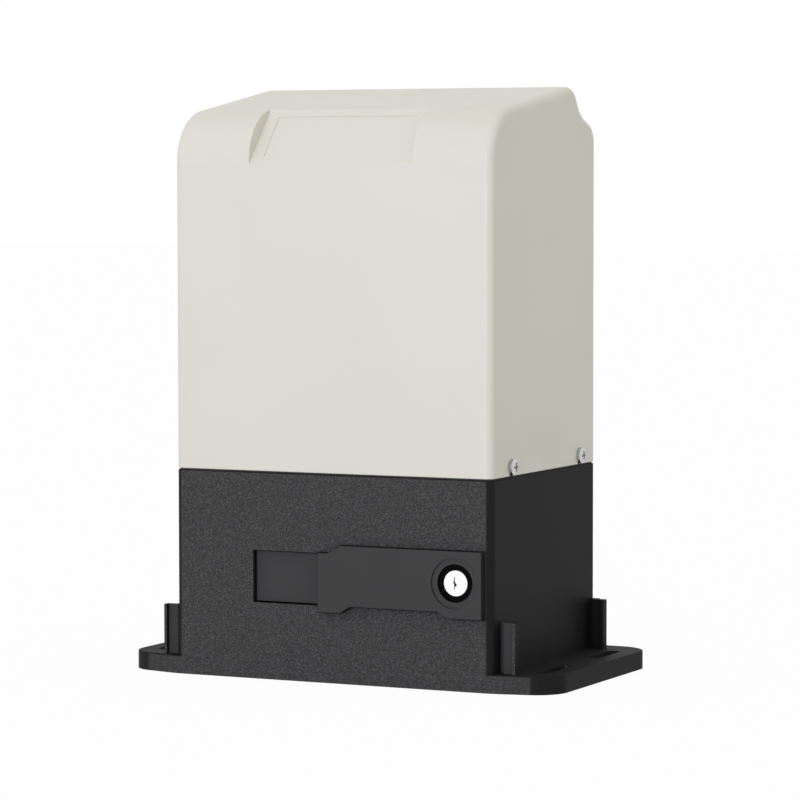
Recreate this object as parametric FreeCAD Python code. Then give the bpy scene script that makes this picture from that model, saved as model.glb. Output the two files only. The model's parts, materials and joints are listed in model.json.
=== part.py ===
import FreeCAD, Part
import math
import os

# Sliding gate motor: a black die-cast base on a slotted foot with a worm gearbox in it, an
# upright motor and a control board on the gearbox lid, and a lift-off plastic cover over them.
# Millimetres, +X right, +Y to the back (the side that the gate's rack runs past), +Z up.
# The origin is the middle of the foot's underside.

V = FreeCAD.Vector
UP = V(0, 0, 1)
BACK = V(0, 1, 0)
RIGHT = V(1, 0, 0)

# ---- driving dimensions -------------------------------------------------------------
BODY_W = 210.0            # base and cover, across
BODY_D = 154.5            # base and cover, front to back
JOINT_Z = 125.0           # where the cover meets the base
CORNER_R = 5.0            # upright corners of base and cover
WALL = 4.0                # cast walls of the base
FLOOR = 6.0               # cast floor of the base
FOOT_L = 285.0
FOOT_T = 11.0
FOOT_BACK = BODY_D / 2 + 1.75
FOOT_NOSE = BODY_D / 2 - 8.25          # how far forward the swept front edge of the foot still is at its ends
FOOT_R = 20.0
SWEEP_R = 60.0            # where the straight front edge of the foot turns into its sweep
SLOT_X, SLOT_Y = 127.5, 37.5
SLOT_W, SLOT_L = 8.5, 36.0
TAB_FRONTS = (9.0 - BODY_D / 2, BODY_D / 2 - 13.15)    # front faces of the guide tabs
TAB_TOP = 41.0

COVER_WALL = 2.5
ROOF_FRONT_Z = 336.35     # where front face and roof would meet without their round
ROOF_SLOPE = 0.157
RIDGE_Y = 44.7
STEP_Y, STEP_Z = 55.4, 338.3
SHELF_Z = 331.0
FRONT_ROUND, RIDGE_ROUND, STEP_ROUND, BACK_ROUND = 32.0, 11.0, 24.0, 14.0
POCKET_W = 108.0          # the flat name-plate bed cut across the front round, left bare
PANEL_W, PANEL_LOW, PANEL_HIGH = 92.0, 6.1, 36.7     # shallow recess in that bed
PANEL_DEPTH = 0.5

SHAFT_X, SHAFT_Z = -30.0, 61.75      # output shaft, wheel, push rod and lever pivot share this X
MODULE = 2.5
WHEEL_TEETH = 30
WORM_PITCH_R = 12.5
MESH_GAP = 0.3            # taken off each flank of the worm thread
TOOTH_PLAY = 0.1          # added to each flank of the wheel's gashes
PINION_MODULE, PINION_TEETH = 4.0, 16

LEVER_Z0, LEVER_Z1 = 43.0, 83.2
LEVER_X0, LEVER_X1 = -6.5, 101.0
WINDOW_X0, WINDOW_X1, WINDOW_Z0, WINDOW_Z1 = -52.0, 1.0, 46.0, 77.5
LOCK_X, LOCK_Z = 83.5, 64.0
CAM_TRAVEL = 5.0          # how far the lever pushes the clutch out

LID_Z, LID_T = 106.0, 6.0
MOTOR_D = 104.0
SCREW_YS, SCREW_Z = (-49.0, 52.0), 130.4     # side screws that hold the cover
SEAL_T = 0.8              # flat seal the cover stands on

# ---- clearances ---------------------------------------------------------------------
RUN = 0.05                # radial, shaft in bearing or bush
SLIDE = 0.1               # radial, sliding and loose pins
GAP = 0.4                 # between pieces that move past each other

# ---- derived ------------------------------------------------------------------------
HX, HY = BODY_W / 2, BODY_D / 2
FRONT = -HY
BASE_TOP = JOINT_Z - SEAL_T
IN_X, IN_Y = HX - WALL, HY - WALL
LID_TOP = LID_Z + LID_T
WHEEL_R = MODULE * WHEEL_TEETH / 2
WORM_X = SHAFT_X + WHEEL_R + WORM_PITCH_R
WORM_LEAD = math.pi * MODULE
LEVER_Y = FRONT + 10.0
POCKET_FOOT = (FRONT, 308.2)
ROOF_ANGLE = math.atan(ROOF_SLOPE)
ROOF_TANGENT = FRONT_ROUND * math.tan((math.pi / 2 - ROOF_ANGLE) / 2)
POCKET_HEAD = (FRONT + ROOF_TANGENT * math.cos(ROOF_ANGLE),
               ROOF_FRONT_Z + ROOF_TANGENT * math.sin(ROOF_ANGLE))


# ---- helpers ------------------------------------------------------------------------
def block(x0, x1, y0, y1, z0, z1):
    return Part.makeBox(x1 - x0, y1 - y0, z1 - z0, V(x0, y0, z0))


def rod_z(x, y, r, z0, z1):
    return Part.makeCylinder(r, z1 - z0, V(x, y, z0), UP)


def rod_y(x, z, r, y0, y1):
    return Part.makeCylinder(r, y1 - y0, V(x, y0, z), BACK)


def rod_x(y, z, r, x0, x1):
    return Part.makeCylinder(r, x1 - x0, V(x0, y, z), RIGHT)


def ring_z(x, y, r_in, r_out, z0, z1):
    return rod_z(x, y, r_out, z0, z1).cut(rod_z(x, y, r_in, z0, z1))


def ring_y(x, z, r_in, r_out, y0, y1):
    return rod_y(x, z, r_out, y0, y1).cut(rod_y(x, z, r_in, y0, y1))


def join(*shapes):
    return shapes[0].multiFuse(list(shapes[1:])).removeSplitter()


def prism(points, along):
    return Part.Face(Part.makePolygon(points + [points[0]])).extrude(along)


def prism_y(points, y0, y1):
    return prism([V(x, y0, z) for x, z in points], V(0, y1 - y0, 0))


def prism_z(points, z0, z1):
    return prism([V(x, y, z0) for x, y in points], V(0, 0, z1 - z0))


def fillet_where(shape, radius, test):
    return shape.makeFillet(radius, [e for e in shape.Edges if test(e)])


def is_upright(edge):
    low, high = edge.BoundBox.ZMin, edge.BoundBox.ZMax
    return edge.BoundBox.XLength < 0.01 and edge.BoundBox.YLength < 0.01 and high - low > 0.5


def rounded_block(half_x, half_y, r, z0, z1):
    return fillet_where(block(-half_x, half_x, -half_y, half_y, z0, z1), r, is_upright)


def slot_z(x, y, width, length, z0, z1):
    r = width / 2
    run = length / 2 - r
    return join(block(x - r, x + r, y - run, y + run, z0, z1),
                rod_z(x, y - run, r, z0, z1), rod_z(x, y + run, r, z0, z1))


def save(name, *solids):
    shape = solids[0] if len(solids) == 1 else Part.makeCompound(list(solids))
    shape.exportStep("parts/" + name + ".step")


def gear(teeth, module, face, tip_cut):
    # straight toothed wheel about +Y through the origin, flanks as straight trapezoids
    pitch_r = teeth * module / 2
    tip_r = pitch_r + module
    root_r = pitch_r - 1.25 * module
    body = rod_y(0, 0, tip_r, -face / 2, face / 2)
    mid = math.pi * module / 4 + tip_cut
    wide = mid + 1.3 * module * math.tan(math.radians(20))
    narrow = mid - 1.25 * module * math.tan(math.radians(20))
    gash = prism_y([(root_r, -narrow), (tip_r + 0.3 * module, -wide),
                    (tip_r + 0.3 * module, wide), (root_r, narrow)], -face, face)
    for i in range(teeth):
        cutter = gash.copy()
        cutter.rotate(V(0, 0, 0), BACK, 360.0 * i / teeth)
        body = body.cut(cutter)
    return body


# ---- the fixed casting and what is bolted to it --------------------------------------
def foot_plate():
    plan = [(-HX, FRONT), (HX, FRONT), (FOOT_L / 2, -FOOT_NOSE), (FOOT_L / 2, FOOT_BACK),
            (-FOOT_L / 2, FOOT_BACK), (-FOOT_L / 2, -FOOT_NOSE)]
    plate = prism_z(plan, 0, FOOT_T)
    plate = fillet_where(plate, FOOT_R, lambda e: is_upright(e) and abs(e.BoundBox.XMin) > HX + 5)
    plate = fillet_where(plate, SWEEP_R, lambda e: is_upright(e) and abs(abs(e.BoundBox.XMin) - HX) < 0.1)
    top = FOOT_T - 0.01
    return fillet_where(plate, 0.8, lambda e: e.BoundBox.ZMin > top)


def guide_tab(side, front):
    # upright guide on the foot: a plate with a small lip at its outer end and a strip set back beside the wall
    outer = HX + 12.0
    face = HX + 3.6
    pieces = [(face, outer, front, front + 2.6),
              (face, face + 2.4, front, front + 6.0),
              (HX - 1, face + 2.4, front + 3.6, front + 6.0),
              (outer - 1.8, outer, front - 2.7, front + 2.6)]
    solids = []
    for x0, x1, y0, y1 in pieces:
        xs = sorted((side * x0, side * x1))
        solids.append(block(xs[0], xs[1], y0, y1, FOOT_T - 1, TAB_TOP))
    return join(*solids)


def cover_lug(side, y):
    # cast ear inside the cover that takes a side screw
    x0, x1 = HX - 11.5, HX - 5.5
    low = block(x0, IN_X + 1, y - 7, y + 7, JOINT_Z - 6, BASE_TOP - 1)
    ear = block(x0, x1, y - 7, y + 7, JOINT_Z - 6, SCREW_Z + 7)
    ear = ear.cut(rod_x(y, SCREW_Z, 2.5 + SLIDE, x0 - 1, x1 + 1))
    lug = join(low, ear)
    return lug if side > 0 else lug.mirror(V(0, 0, 0), RIGHT)


PILLARS = [(x, y) for x in (-94.0, 94.0) for y in (FRONT + 35.0, 22.0, HY - 11.25)]
FRONT_WALL_Y = FRONT + 32.75
FRONT_BRG_Y, REAR_BRG_Y = FRONT_WALL_Y + 3.5, HY - 24.25
BRG_R, BRG_BORE, BRG_W = 23.5, 10.0, 14.0      # output shaft bearings
SEAL_R, SEAL_Y = 17.5, HY - 7.25
WBRG_R, WBRG_BORE, WBRG_W = 20.0, 8.5, 12.0    # worm bearings
WBRG_LOW_Z, WBRG_HIGH_Z = 15.5, LID_Z - 12.0
CABLE_X, CABLE_Y, CABLE_R = -70.0, -59.0, 11.5
LUG_PIN_R = 3.0


def base_walls():
    shell = rounded_block(HX, HY, CORNER_R, 0, BASE_TOP)
    shell = fillet_where(shell, 0.7, lambda e: e.BoundBox.ZMin > BASE_TOP - 0.01)
    shell = join(shell, foot_plate())
    return shell.cut(rounded_block(IN_X, IN_Y, CORNER_R - 2, FLOOR, JOINT_Z + 1))


def base_bosses():
    parts = [block(-IN_X, IN_X, FRONT_WALL_Y, FRONT_WALL_Y + WALL + 0.5, FLOOR - 1, LID_Z)]
    for x in (-80.0, 54.0):
        parts.append(block(x, x + WALL, FRONT_WALL_Y, IN_Y + 1, FLOOR - 1, LID_Z))
    parts.append(rod_y(SHAFT_X, SHAFT_Z, 29.0, FRONT_WALL_Y, FRONT_BRG_Y + BRG_W + 0.5))
    parts.append(rod_y(SHAFT_X, SHAFT_Z, 30.0, REAR_BRG_Y - 0.5, IN_Y + 1))
    parts.append(rod_y(SHAFT_X, SHAFT_Z, 29.0, HY - 1, FOOT_BACK))
    parts.append(rod_z(WORM_X, 0, WBRG_R + 3, FLOOR - 1, WBRG_LOW_Z + WBRG_W + 0.5))
    for x, y in PILLARS:
        parts.append(rod_z(x, y, 5.5, FLOOR - 1, LID_Z))
        wall_x = IN_X + 1 if x > 0 else -IN_X - 1
        parts.append(block(min(x, wall_x), max(x, wall_x), y - 1.5, y + 1.5, FLOOR - 1, LID_Z))
    for z0, z1 in ((WINDOW_Z0 - 8, WINDOW_Z0 - 0.3), (WINDOW_Z1 + 0.3, WINDOW_Z1 + 8.5)):
        parts.append(block(SHAFT_X - 6, SHAFT_X + 6, -IN_Y - 1, LEVER_Y, z0, z1))
        parts.append(rod_z(SHAFT_X, LEVER_Y, 6.0, z0, z1))
    parts.append(block(LOCK_X - 17.5, LOCK_X - 12.5, -IN_Y - 1, -56.5, FLOOR - 1, LOCK_Z + 18))
    for x in (-51.0, 10.0, 40.0):
        parts.append(block(x, x + 2.5, -IN_Y - 1, FRONT_WALL_Y + 1, FLOOR - 1, 24))
    return parts


def base_openings():
    cuts = [block(WINDOW_X0, WINDOW_X1, FRONT - 1, -IN_Y, WINDOW_Z0, WINDOW_Z1)]
    cuts.append(rod_y(LOCK_X, LOCK_Z, 12.3, FRONT - 1, -IN_Y))
    cuts.append(block(LOCK_X - 5, LOCK_X + 5, FRONT - 1, -IN_Y, LOCK_Z, LOCK_Z + 17.5))
    cuts.append(rod_y(SHAFT_X, SHAFT_Z, BRG_R, FRONT_BRG_Y, FRONT_BRG_Y + BRG_W + 1))
    cuts.append(rod_y(SHAFT_X, SHAFT_Z, 14.0, FRONT_WALL_Y - 1, FRONT_BRG_Y + 1))
    cuts.append(rod_y(SHAFT_X, SHAFT_Z, BRG_R, REAR_BRG_Y - 1, REAR_BRG_Y + BRG_W))
    cuts.append(rod_y(SHAFT_X, SHAFT_Z, SEAL_R, REAR_BRG_Y + BRG_W - 1, FOOT_BACK + 1))
    cuts.append(rod_z(WORM_X, 0, WBRG_R, WBRG_LOW_Z, WBRG_LOW_Z + WBRG_W + 1))
    cuts.append(rod_z(WORM_X, 0, 11.0, FLOOR, WBRG_LOW_Z + 1))
    cuts.append(rod_z(CABLE_X, CABLE_Y, CABLE_R, -1, FLOOR + 1))
    cuts.append(rod_z(SHAFT_X, LEVER_Y, LUG_PIN_R + RUN, 30, 90))
    for x in (-SLOT_X, SLOT_X):
        for y in (-SLOT_Y, SLOT_Y):
            cuts.append(slot_z(x, y, SLOT_W, SLOT_L, -1, FOOT_T + 1))
    for x, y in PILLARS:
        cuts.append(rod_z(x, y, 2.5 + SLIDE, LID_Z - 14, LID_Z + 1))
    return cuts


def base_housing():
    parts = base_bosses()
    parts += [guide_tab(side, front) for side in (-1, 1) for front in TAB_FRONTS]
    parts += [cover_lug(side, y) for side in (-1, 1) for y in SCREW_YS]
    return base_walls().multiFuse(parts).cut(base_openings()).removeSplitter()


def lid_plan(z0, z1, edge):
    plate = rounded_block(IN_X - edge, IN_Y - edge, CORNER_R - 2, z0, z1)
    notch = [block(side * HX - 12.5, side * HX + 12.5, y - 8, y + 8, z0 - 1, z1 + 1)
             for side in (-1, 1) for y in SCREW_YS]
    return plate.cut(notch)


GASKET_T = 0.8


def gearcase_lid():
    bottom = LID_Z + GASKET_T
    lid = lid_plan(bottom, LID_TOP, 0.5)
    lid = join(lid, rod_z(WORM_X, 0, WBRG_R + 3, WBRG_HIGH_Z - 0.5, LID_TOP),
               ring_z(WORM_X, 0, 30.0, 33.0, LID_TOP - 1, LID_TOP + 2.5))
    for x in (-66.0, 72.0):
        lid = join(lid, block(x, x + 2.5, -35, 35, LID_Z - 8, bottom + 1))
    cuts = [rod_z(WORM_X, 0, WBRG_R, WBRG_HIGH_Z - 1, WBRG_HIGH_Z + WBRG_W),
            rod_z(WORM_X, 0, 14.0, WBRG_HIGH_Z + WBRG_W - 1, LID_TOP + 1),
            rod_z(CABLE_X, CABLE_Y, CABLE_R, LID_Z - 1, LID_TOP + 1)]
    cuts += [rod_z(x, y, 2.5 + SLIDE, LID_Z - 1, LID_TOP + 1) for x, y in PILLARS]
    return lid.cut(cuts).removeSplitter()


def lid_gasket():
    sheet = lid_plan(LID_Z, LID_Z + GASKET_T, 0.5)
    inner = [block(-78, 56, -38, IN_Y - 4, LID_Z - 1, LID_Z + 2),
             block(-IN_X + 16, IN_X - 18, -IN_Y + 4, FRONT_WALL_Y - 1, LID_Z - 1, LID_Z + 2),
             block(-IN_X + 16, -84, -36, IN_Y - 16, LID_Z - 1, LID_Z + 2),
             block(62, IN_X - 18, -36, IN_Y - 4, LID_Z - 1, LID_Z + 2)]
    inner += [rod_z(x, y, 2.5 + SLIDE, LID_Z - 1, LID_Z + 2) for x, y in PILLARS]
    return sheet.cut(inner)


def cap_screw_z(x, y, r, z_head, length):
    screw = join(rod_z(x, y, r * 1.75, z_head, z_head + r * 1.6), rod_z(x, y, r, z_head - length, z_head))
    socket = hexagon(x, y, r * 0.85, z_head + r * 0.7, z_head + r * 2)
    return screw.cut(socket)


def hexagon(x, y, r, z0, z1):
    return prism_z([(x + r * math.cos(k * math.pi / 3), y + r * math.sin(k * math.pi / 3))
                    for k in range(6)], z0, z1)


def lid_screws():
    return [cap_screw_z(x, y, 2.5, LID_TOP, 16) for x, y in PILLARS]


def cover_seal():
    # flat strip under the cover's edge, set back from the outside, with a lip inside the cover
    flat = rounded_block(HX - 1.0, HY - 1.0, CORNER_R - 1, BASE_TOP, JOINT_Z)
    lip = rounded_block(HX - COVER_WALL - 0.6, HY - COVER_WALL - 0.6, 2.4, BASE_TOP, JOINT_Z + 2.2)
    limit_gap = block(SHAFT_X - NOSE_X - 1, SHAFT_X + NOSE_X + 1, 0, HY, JOINT_Z, JOINT_Z + 3)
    return join(flat, lip.cut(limit_gap)).cut(rounded_block(IN_X - 0.4, IN_Y - 0.4, 1.6, BASE_TOP - 1, JOINT_Z + 3))


PAN_R, PAN_RIM, PAN_H = 4.75, 1.6, 2.9      # head radius, height of its upright rim, whole height


def pan_screw_x(side, y):
    # cross-head screw through the cover's side slot into the cast ear
    seat = HX + GAP - 0.1
    rise = PAN_H - PAN_RIM
    dome_r = (PAN_R ** 2 + rise ** 2) / (2 * rise)
    dome = Part.makeSphere(dome_r, V(seat + PAN_H - dome_r, y, SCREW_Z))
    dome = dome.common(rod_x(y, SCREW_Z, PAN_R, seat + PAN_RIM - 0.1, seat + PAN_H + 1))
    head = join(rod_x(y, SCREW_Z, PAN_R, seat, seat + PAN_RIM), dome)
    shank = rod_x(y, SCREW_Z, 2.5, HX - 12, HX + 1)
    floor = seat + PAN_H - 1.9
    arms = [block(floor, HX + 5, y - 2.7, y + 2.7, SCREW_Z - 0.7, SCREW_Z + 0.7),
            block(floor, HX + 5, y - 0.7, y + 0.7, SCREW_Z - 2.7, SCREW_Z + 2.7)]
    screw = join(head, shank).cut(arms)
    return screw if side > 0 else screw.mirror(V(0, 0, 0), RIGHT)


def cover_screws():
    return [pan_screw_x(side, y) for side in (-1, 1) for y in SCREW_YS]


def bearing(axis, x, y, z, bore, r_out, width):
    # sealed ball bearing: both rings with the seals set back between them
    along = BACK if axis == "y" else UP
    where = V(x, y, z)
    body = Part.makeCylinder(r_out, width, where, along)
    body = body.cut(Part.makeCylinder(bore + RUN, width, where, along))
    wall = (r_out - bore) * 0.28
    for start in (0.0, width - 0.8):
        base = where + along * start
        seal = Part.makeCylinder(r_out - wall, 0.8, base, along)
        body = body.cut(seal.cut(Part.makeCylinder(bore + wall, 0.8, base, along)))
    return body


def shaft_bearings():
    return [bearing("y", SHAFT_X, y, SHAFT_Z, BRG_BORE, BRG_R, BRG_W) for y in (FRONT_BRG_Y, REAR_BRG_Y)]


def worm_bearings():
    return [bearing("z", WORM_X, 0, z, WBRG_BORE, WBRG_R, WBRG_W) for z in (WBRG_LOW_Z, WBRG_HIGH_Z)]


def oil_seal():
    return join(ring_y(SHAFT_X, SHAFT_Z, SEAL_R - 3, SEAL_R, SEAL_Y, SEAL_Y + 7),
                ring_y(SHAFT_X, SHAFT_Z, BRG_BORE + RUN, SEAL_R - 2, SEAL_Y + 5, SEAL_Y + 7))


def worm_seal():
    return join(ring_z(WORM_X, 0, 11.5, 14.0, LID_Z, LID_Z + 5),
                ring_z(WORM_X, 0, 7.5 + RUN, 12.0, LID_Z + 3.5, LID_Z + 5))


def lever_pin():
    pin = rod_z(SHAFT_X, LEVER_Y, LUG_PIN_R, 37.0, 86.0)
    return join(pin, rod_z(SHAFT_X, LEVER_Y, LUG_PIN_R + 1.5, 86.0, 87.5))


def cable_grommets():
    solids = []
    for z0, z1 in ((0.0, FLOOR), (LID_Z + GASKET_T, LID_TOP)):
        flange = rod_z(CABLE_X, CABLE_Y, CABLE_R + 2, z1, z1 + 2)
        neck = rod_z(CABLE_X, CABLE_Y, CABLE_R, z0, z1 + 1)
        solids.append(join(flange, neck).cut(rod_z(CABLE_X, CABLE_Y, 8.0, z0 - 1, z1 + 3)))
    return solids


# ---- motor -------------------------------------------------------------------------
STATOR_Z0 = LID_TOP + 14.0
STATOR_Z1 = STATOR_Z0 + 60.0
SHIELD_TOP = STATOR_Z1 + 30.0
SHELL_WALL = 12.0
ROTOR_R = 0.27 * MOTOR_D
STATOR_BORE_R = ROTOR_R + 0.5
SLOT_R = 0.73 * (MOTOR_D / 2)          # outer end of the stator's winding slots
BOLT_R, BOLT_CIRCLE = 2.5, MOTOR_D / 2 - 6.0
BOLT_SPOTS = [(WORM_X + BOLT_CIRCLE * math.cos(a), BOLT_CIRCLE * math.sin(a))
              for a in [math.pi / 4 + k * math.pi / 2 for k in range(4)]]


def vents(z0, z1):
    slots = []
    for k in range(12):
        slot = block(MOTOR_D / 2 - 8, MOTOR_D / 2 + 2, -3, 3, z0, z1)
        slot.rotate(V(0, 0, 0), UP, 30.0 * k)
        slot.translate(V(WORM_X, 0, 0))
        slots.append(slot)
    return slots


def bolt_holes(z0, z1):
    return [rod_z(x, y, BOLT_R + SLIDE, z0, z1) for x, y in BOLT_SPOTS]


def motor_flange():
    cup = rod_z(WORM_X, 0, MOTOR_D / 2, LID_TOP, STATOR_Z0)
    foot = rounded_block(BOLT_CIRCLE + 2, BOLT_CIRCLE + 2, 8, LID_TOP, LID_TOP + 5)
    foot.translate(V(WORM_X, 0, 0))
    inside = rod_z(WORM_X, 0, MOTOR_D / 2 - SHELL_WALL, LID_TOP - 1, STATOR_Z0 + 1)
    return join(cup, foot).cut([inside] + bolt_holes(LID_TOP - 1, STATOR_Z0 + 1)
                               + vents(LID_TOP + 6, STATOR_Z0 - 2))


def motor_stator():
    stack = ring_z(WORM_X, 0, STATOR_BORE_R, MOTOR_D / 2 - 2, STATOR_Z0, STATOR_Z1)
    cuts = bolt_holes(STATOR_Z0 - 1, STATOR_Z1 + 1)
    for k in range(12):
        slot = block(STATOR_BORE_R - 1.5, SLOT_R, -2.2, 2.2, STATOR_Z0 - 1, STATOR_Z1 + 1)
        slot.rotate(V(0, 0, 0), UP, 15 + 30.0 * k)
        slot.translate(V(WORM_X, 0, 0))
        cuts.append(slot)
    return stack.cut(cuts)


def motor_windings():
    # bundled copper ends above and below the laminations
    solids = []
    for z in (STATOR_Z0 - 10.5, STATOR_Z1):
        outer = MOTOR_D / 2 - SHELL_WALL - 0.5
        inner = STATOR_BORE_R + 1.0
        bundle = ring_z(WORM_X, 0, inner, outer, z, z + 10.5)
        solids.append(bundle.makeChamfer(0.27 * (outer - inner), bundle.Edges))
    return solids


def motor_end_shield():
    cup = rod_z(WORM_X, 0, MOTOR_D / 2, STATOR_Z1, SHIELD_TOP - 4)
    cup = cup.cut(rod_z(WORM_X, 0, MOTOR_D / 2 - 8.5, STATOR_Z1 - 1, SHIELD_TOP - 8))
    boss = rod_z(WORM_X, 0, 21.0, SHIELD_TOP - 14, SHIELD_TOP)
    pads = [rod_z(x, y, 5.5, STATOR_Z1, SHIELD_TOP - 4) for x, y in BOLT_SPOTS]
    bore = rod_z(WORM_X, 0, 17.5, SHIELD_TOP - 15, SHIELD_TOP - 3)
    return join(cup, boss, *pads).cut([bore] + bolt_holes(STATOR_Z1 - 1, SHIELD_TOP)
                                      + vents(STATOR_Z1 + 4, SHIELD_TOP - 12))


def motor_bearing():
    return bearing("z", WORM_X, 0, SHIELD_TOP - 14, 7.5, 17.5, 11.0)


def motor_bolts():
    return [cap_screw_z(x, y, BOLT_R, SHIELD_TOP - 4, SHIELD_TOP - 4 - LID_TOP) for x, y in BOLT_SPOTS]


# ---- worm, wheel, clutch and output --------------------------------------------------
WORM_TURNS = 5
WORM_Z0 = SHAFT_Z - WORM_LEAD * WORM_TURNS / 2
FLANK = math.tan(math.radians(20))
WORM_TIP_R = WORM_PITCH_R + MODULE
WORM_ROOT_R = WORM_PITCH_R - 1.25 * MODULE
HALF_THREAD = WORM_LEAD / 4 - MESH_GAP


def worm_thread():
    sunk = WORM_ROOT_R - 0.4
    tip = HALF_THREAD - MODULE * FLANK
    root = HALF_THREAD + (WORM_PITCH_R - sunk) * FLANK
    corners = [V(sunk, 0, -root), V(sunk, 0, root), V(WORM_TIP_R, 0, tip), V(WORM_TIP_R, 0, -tip)]
    section = Part.makePolygon(corners + [corners[0]])
    helix = Part.makeHelix(WORM_LEAD, WORM_LEAD * WORM_TURNS, WORM_ROOT_R)
    thread = Part.Wire(helix.Edges).makePipeShell([section], True, True)
    thread.translate(V(WORM_X, 0, WORM_Z0))
    return thread


def worm_shaft():
    low = WBRG_LOW_Z - 0.5
    shaft = join(rod_z(WORM_X, 0, WBRG_BORE, low, LID_Z),
                 rod_z(WORM_X, 0, WBRG_BORE + 2, WBRG_LOW_Z + WBRG_W + GAP, WBRG_LOW_Z + WBRG_W + 4),
                 rod_z(WORM_X, 0, WBRG_BORE + 2, WBRG_HIGH_Z - 4, WBRG_HIGH_Z - GAP),
                 rod_z(WORM_X, 0, WORM_ROOT_R, WORM_Z0 - 5, WORM_Z0 + WORM_LEAD * WORM_TURNS + 5),
                 rod_z(WORM_X, 0, 7.5, LID_Z, SHIELD_TOP - 3.5))
    return shaft.fuse(worm_thread())


def rotor_core():
    core = rod_z(WORM_X, 0, ROTOR_R, STATOR_Z0 + 1, STATOR_Z1 - 1)
    rings = [rod_z(WORM_X, 0, ROTOR_R - 2.5, STATOR_Z0 - 5, STATOR_Z0 + 2),
             rod_z(WORM_X, 0, ROTOR_R - 2.5, STATOR_Z1 - 2, STATOR_Z1 + 5)]
    return join(core, *rings).cut(rod_z(WORM_X, 0, 7.5, STATOR_Z0 - 6, STATOR_Z1 + 6))


HUB_R, HUB_BORE = 24.0, 11.0
HUB_HALF = 13.0
WHEEL_FACE = 18.0
DOG_IN, DOG_OUT, DOG_H = 14.0, 21.5, 4.0
DOG_COUNT = 4
DOG_BODY_Y0, DOG_BODY_T = HUB_HALF + DOG_H + GAP, 12.0
PIN_Y = DOG_BODY_Y0 + DOG_BODY_T / 2
PIN_R = 2.5


def at_shaft(shape):
    shape.translate(V(SHAFT_X, 0, SHAFT_Z))
    return shape


def dog_teeth(y0, y1, first):
    # sector teeth about +Y, narrower than their pitch by the play that lets them slide in
    span = 180.0 / DOG_COUNT - 2.4
    teeth = []
    for k in range(DOG_COUNT):
        tooth = Part.makeCylinder(DOG_OUT, y1 - y0, V(0, y0, 0), BACK, span)
        tooth = tooth.cut(rod_y(0, 0, DOG_IN, y0 - 1, y1 + 1))
        tooth.rotate(V(0, 0, 0), BACK, first + 360.0 * k / DOG_COUNT - span / 2)
        teeth.append(tooth)
    return teeth


def worm_wheel():
    pitch_r = WHEEL_R
    tip_r = pitch_r + MODULE
    root_r = pitch_r - 1.25 * MODULE
    rim = ring_y(0, 0, HUB_R, tip_r, -WHEEL_FACE / 2, WHEEL_FACE / 2)
    half = WORM_LEAD / 4 + TOOTH_PLAY
    narrow = half - (pitch_r - root_r) * FLANK
    wide = half + (MODULE + 0.6) * FLANK * 1.5
    lean = V(0, 1, -WORM_LEAD / (2 * math.pi * WORM_PITCH_R)) * (WHEEL_FACE + 4)
    start = lean * -0.5
    face = [V(root_r, 0, -narrow), V(tip_r + 0.6, 0, -wide), V(tip_r + 0.6, 0, wide), V(root_r, 0, narrow)]
    gash = prism([p + start for p in face], lean)
    cutters = []
    for k in range(WHEEL_TEETH):
        cutter = gash.copy()
        cutter.rotate(V(0, 0, 0), BACK, 360.0 * k / WHEEL_TEETH)
        cutters.append(cutter)
    return at_shaft(rim.cut(cutters))


def wheel_hub():
    hub = ring_y(0, 0, HUB_BORE + RUN, HUB_R, -WHEEL_FACE / 2, WHEEL_FACE / 2)
    nose = ring_y(0, 0, HUB_BORE + RUN, HUB_R - 2, -HUB_HALF, HUB_HALF)
    return at_shaft(join(hub, nose, *dog_teeth(HUB_HALF - 1, HUB_HALF + DOG_H, 0.0)))


def clutch_dog():
    ring = ring_y(0, 0, HUB_BORE + SLIDE, HUB_R - 1, DOG_BODY_Y0, DOG_BODY_Y0 + DOG_BODY_T)
    teeth = dog_teeth(HUB_HALF + GAP, DOG_BODY_Y0 + 1, 180.0 / DOG_COUNT)
    dog = at_shaft(join(ring, *teeth))
    return dog.cut(rod_x(PIN_Y, SHAFT_Z, PIN_R, SHAFT_X - 30, SHAFT_X + 30))


def cross_pin():
    return rod_x(PIN_Y, SHAFT_Z, PIN_R, SHAFT_X - HUB_R + 3, SHAFT_X + HUB_R - 3)


PINION_Y0, PINION_FACE = FOOT_BACK + 2.0, 28.0
SHAFT_TIP_Y = PINION_Y0 + PINION_FACE + 2.0
SPRING_SEAT_Y = REAR_BRG_Y - 2.6
ROD_R = 3.0
ROD_TIP_Y = LEVER_Y + 5.5 + 0.3
KEY_W = 6.0


def output_shaft():
    front = FRONT_WALL_Y + 1
    shaft = join(rod_y(SHAFT_X, SHAFT_Z, BRG_BORE, front, SHAFT_TIP_Y),
                 rod_y(SHAFT_X, SHAFT_Z, HUB_BORE, FRONT_BRG_Y + BRG_W + GAP, REAR_BRG_Y - GAP),
                 rod_y(SHAFT_X, SHAFT_Z, HUB_BORE + 3.5, FRONT_BRG_Y + BRG_W + GAP, -HUB_HALF - GAP))
    bore = rod_y(SHAFT_X, SHAFT_Z, ROD_R + 0.08, front - 1, PIN_Y + CAM_TRAVEL + PIN_R + 1)
    pin_slot = block(SHAFT_X - 20, SHAFT_X + 20, PIN_Y - PIN_R - SLIDE, PIN_Y + CAM_TRAVEL + PIN_R + GAP,
                     SHAFT_Z - PIN_R - SLIDE, SHAFT_Z + PIN_R + SLIDE)
    keyway = block(SHAFT_X - KEY_W / 2, SHAFT_X + KEY_W / 2, PINION_Y0 + 1, PINION_Y0 + 26,
                   SHAFT_Z + BRG_BORE - 3.5, SHAFT_Z + BRG_BORE + 1)
    tapped = rod_y(SHAFT_X, SHAFT_Z, 4.0, SHAFT_TIP_Y - 20, SHAFT_TIP_Y + 1)
    return shaft.cut([bore, pin_slot, keyway, tapped])


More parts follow.
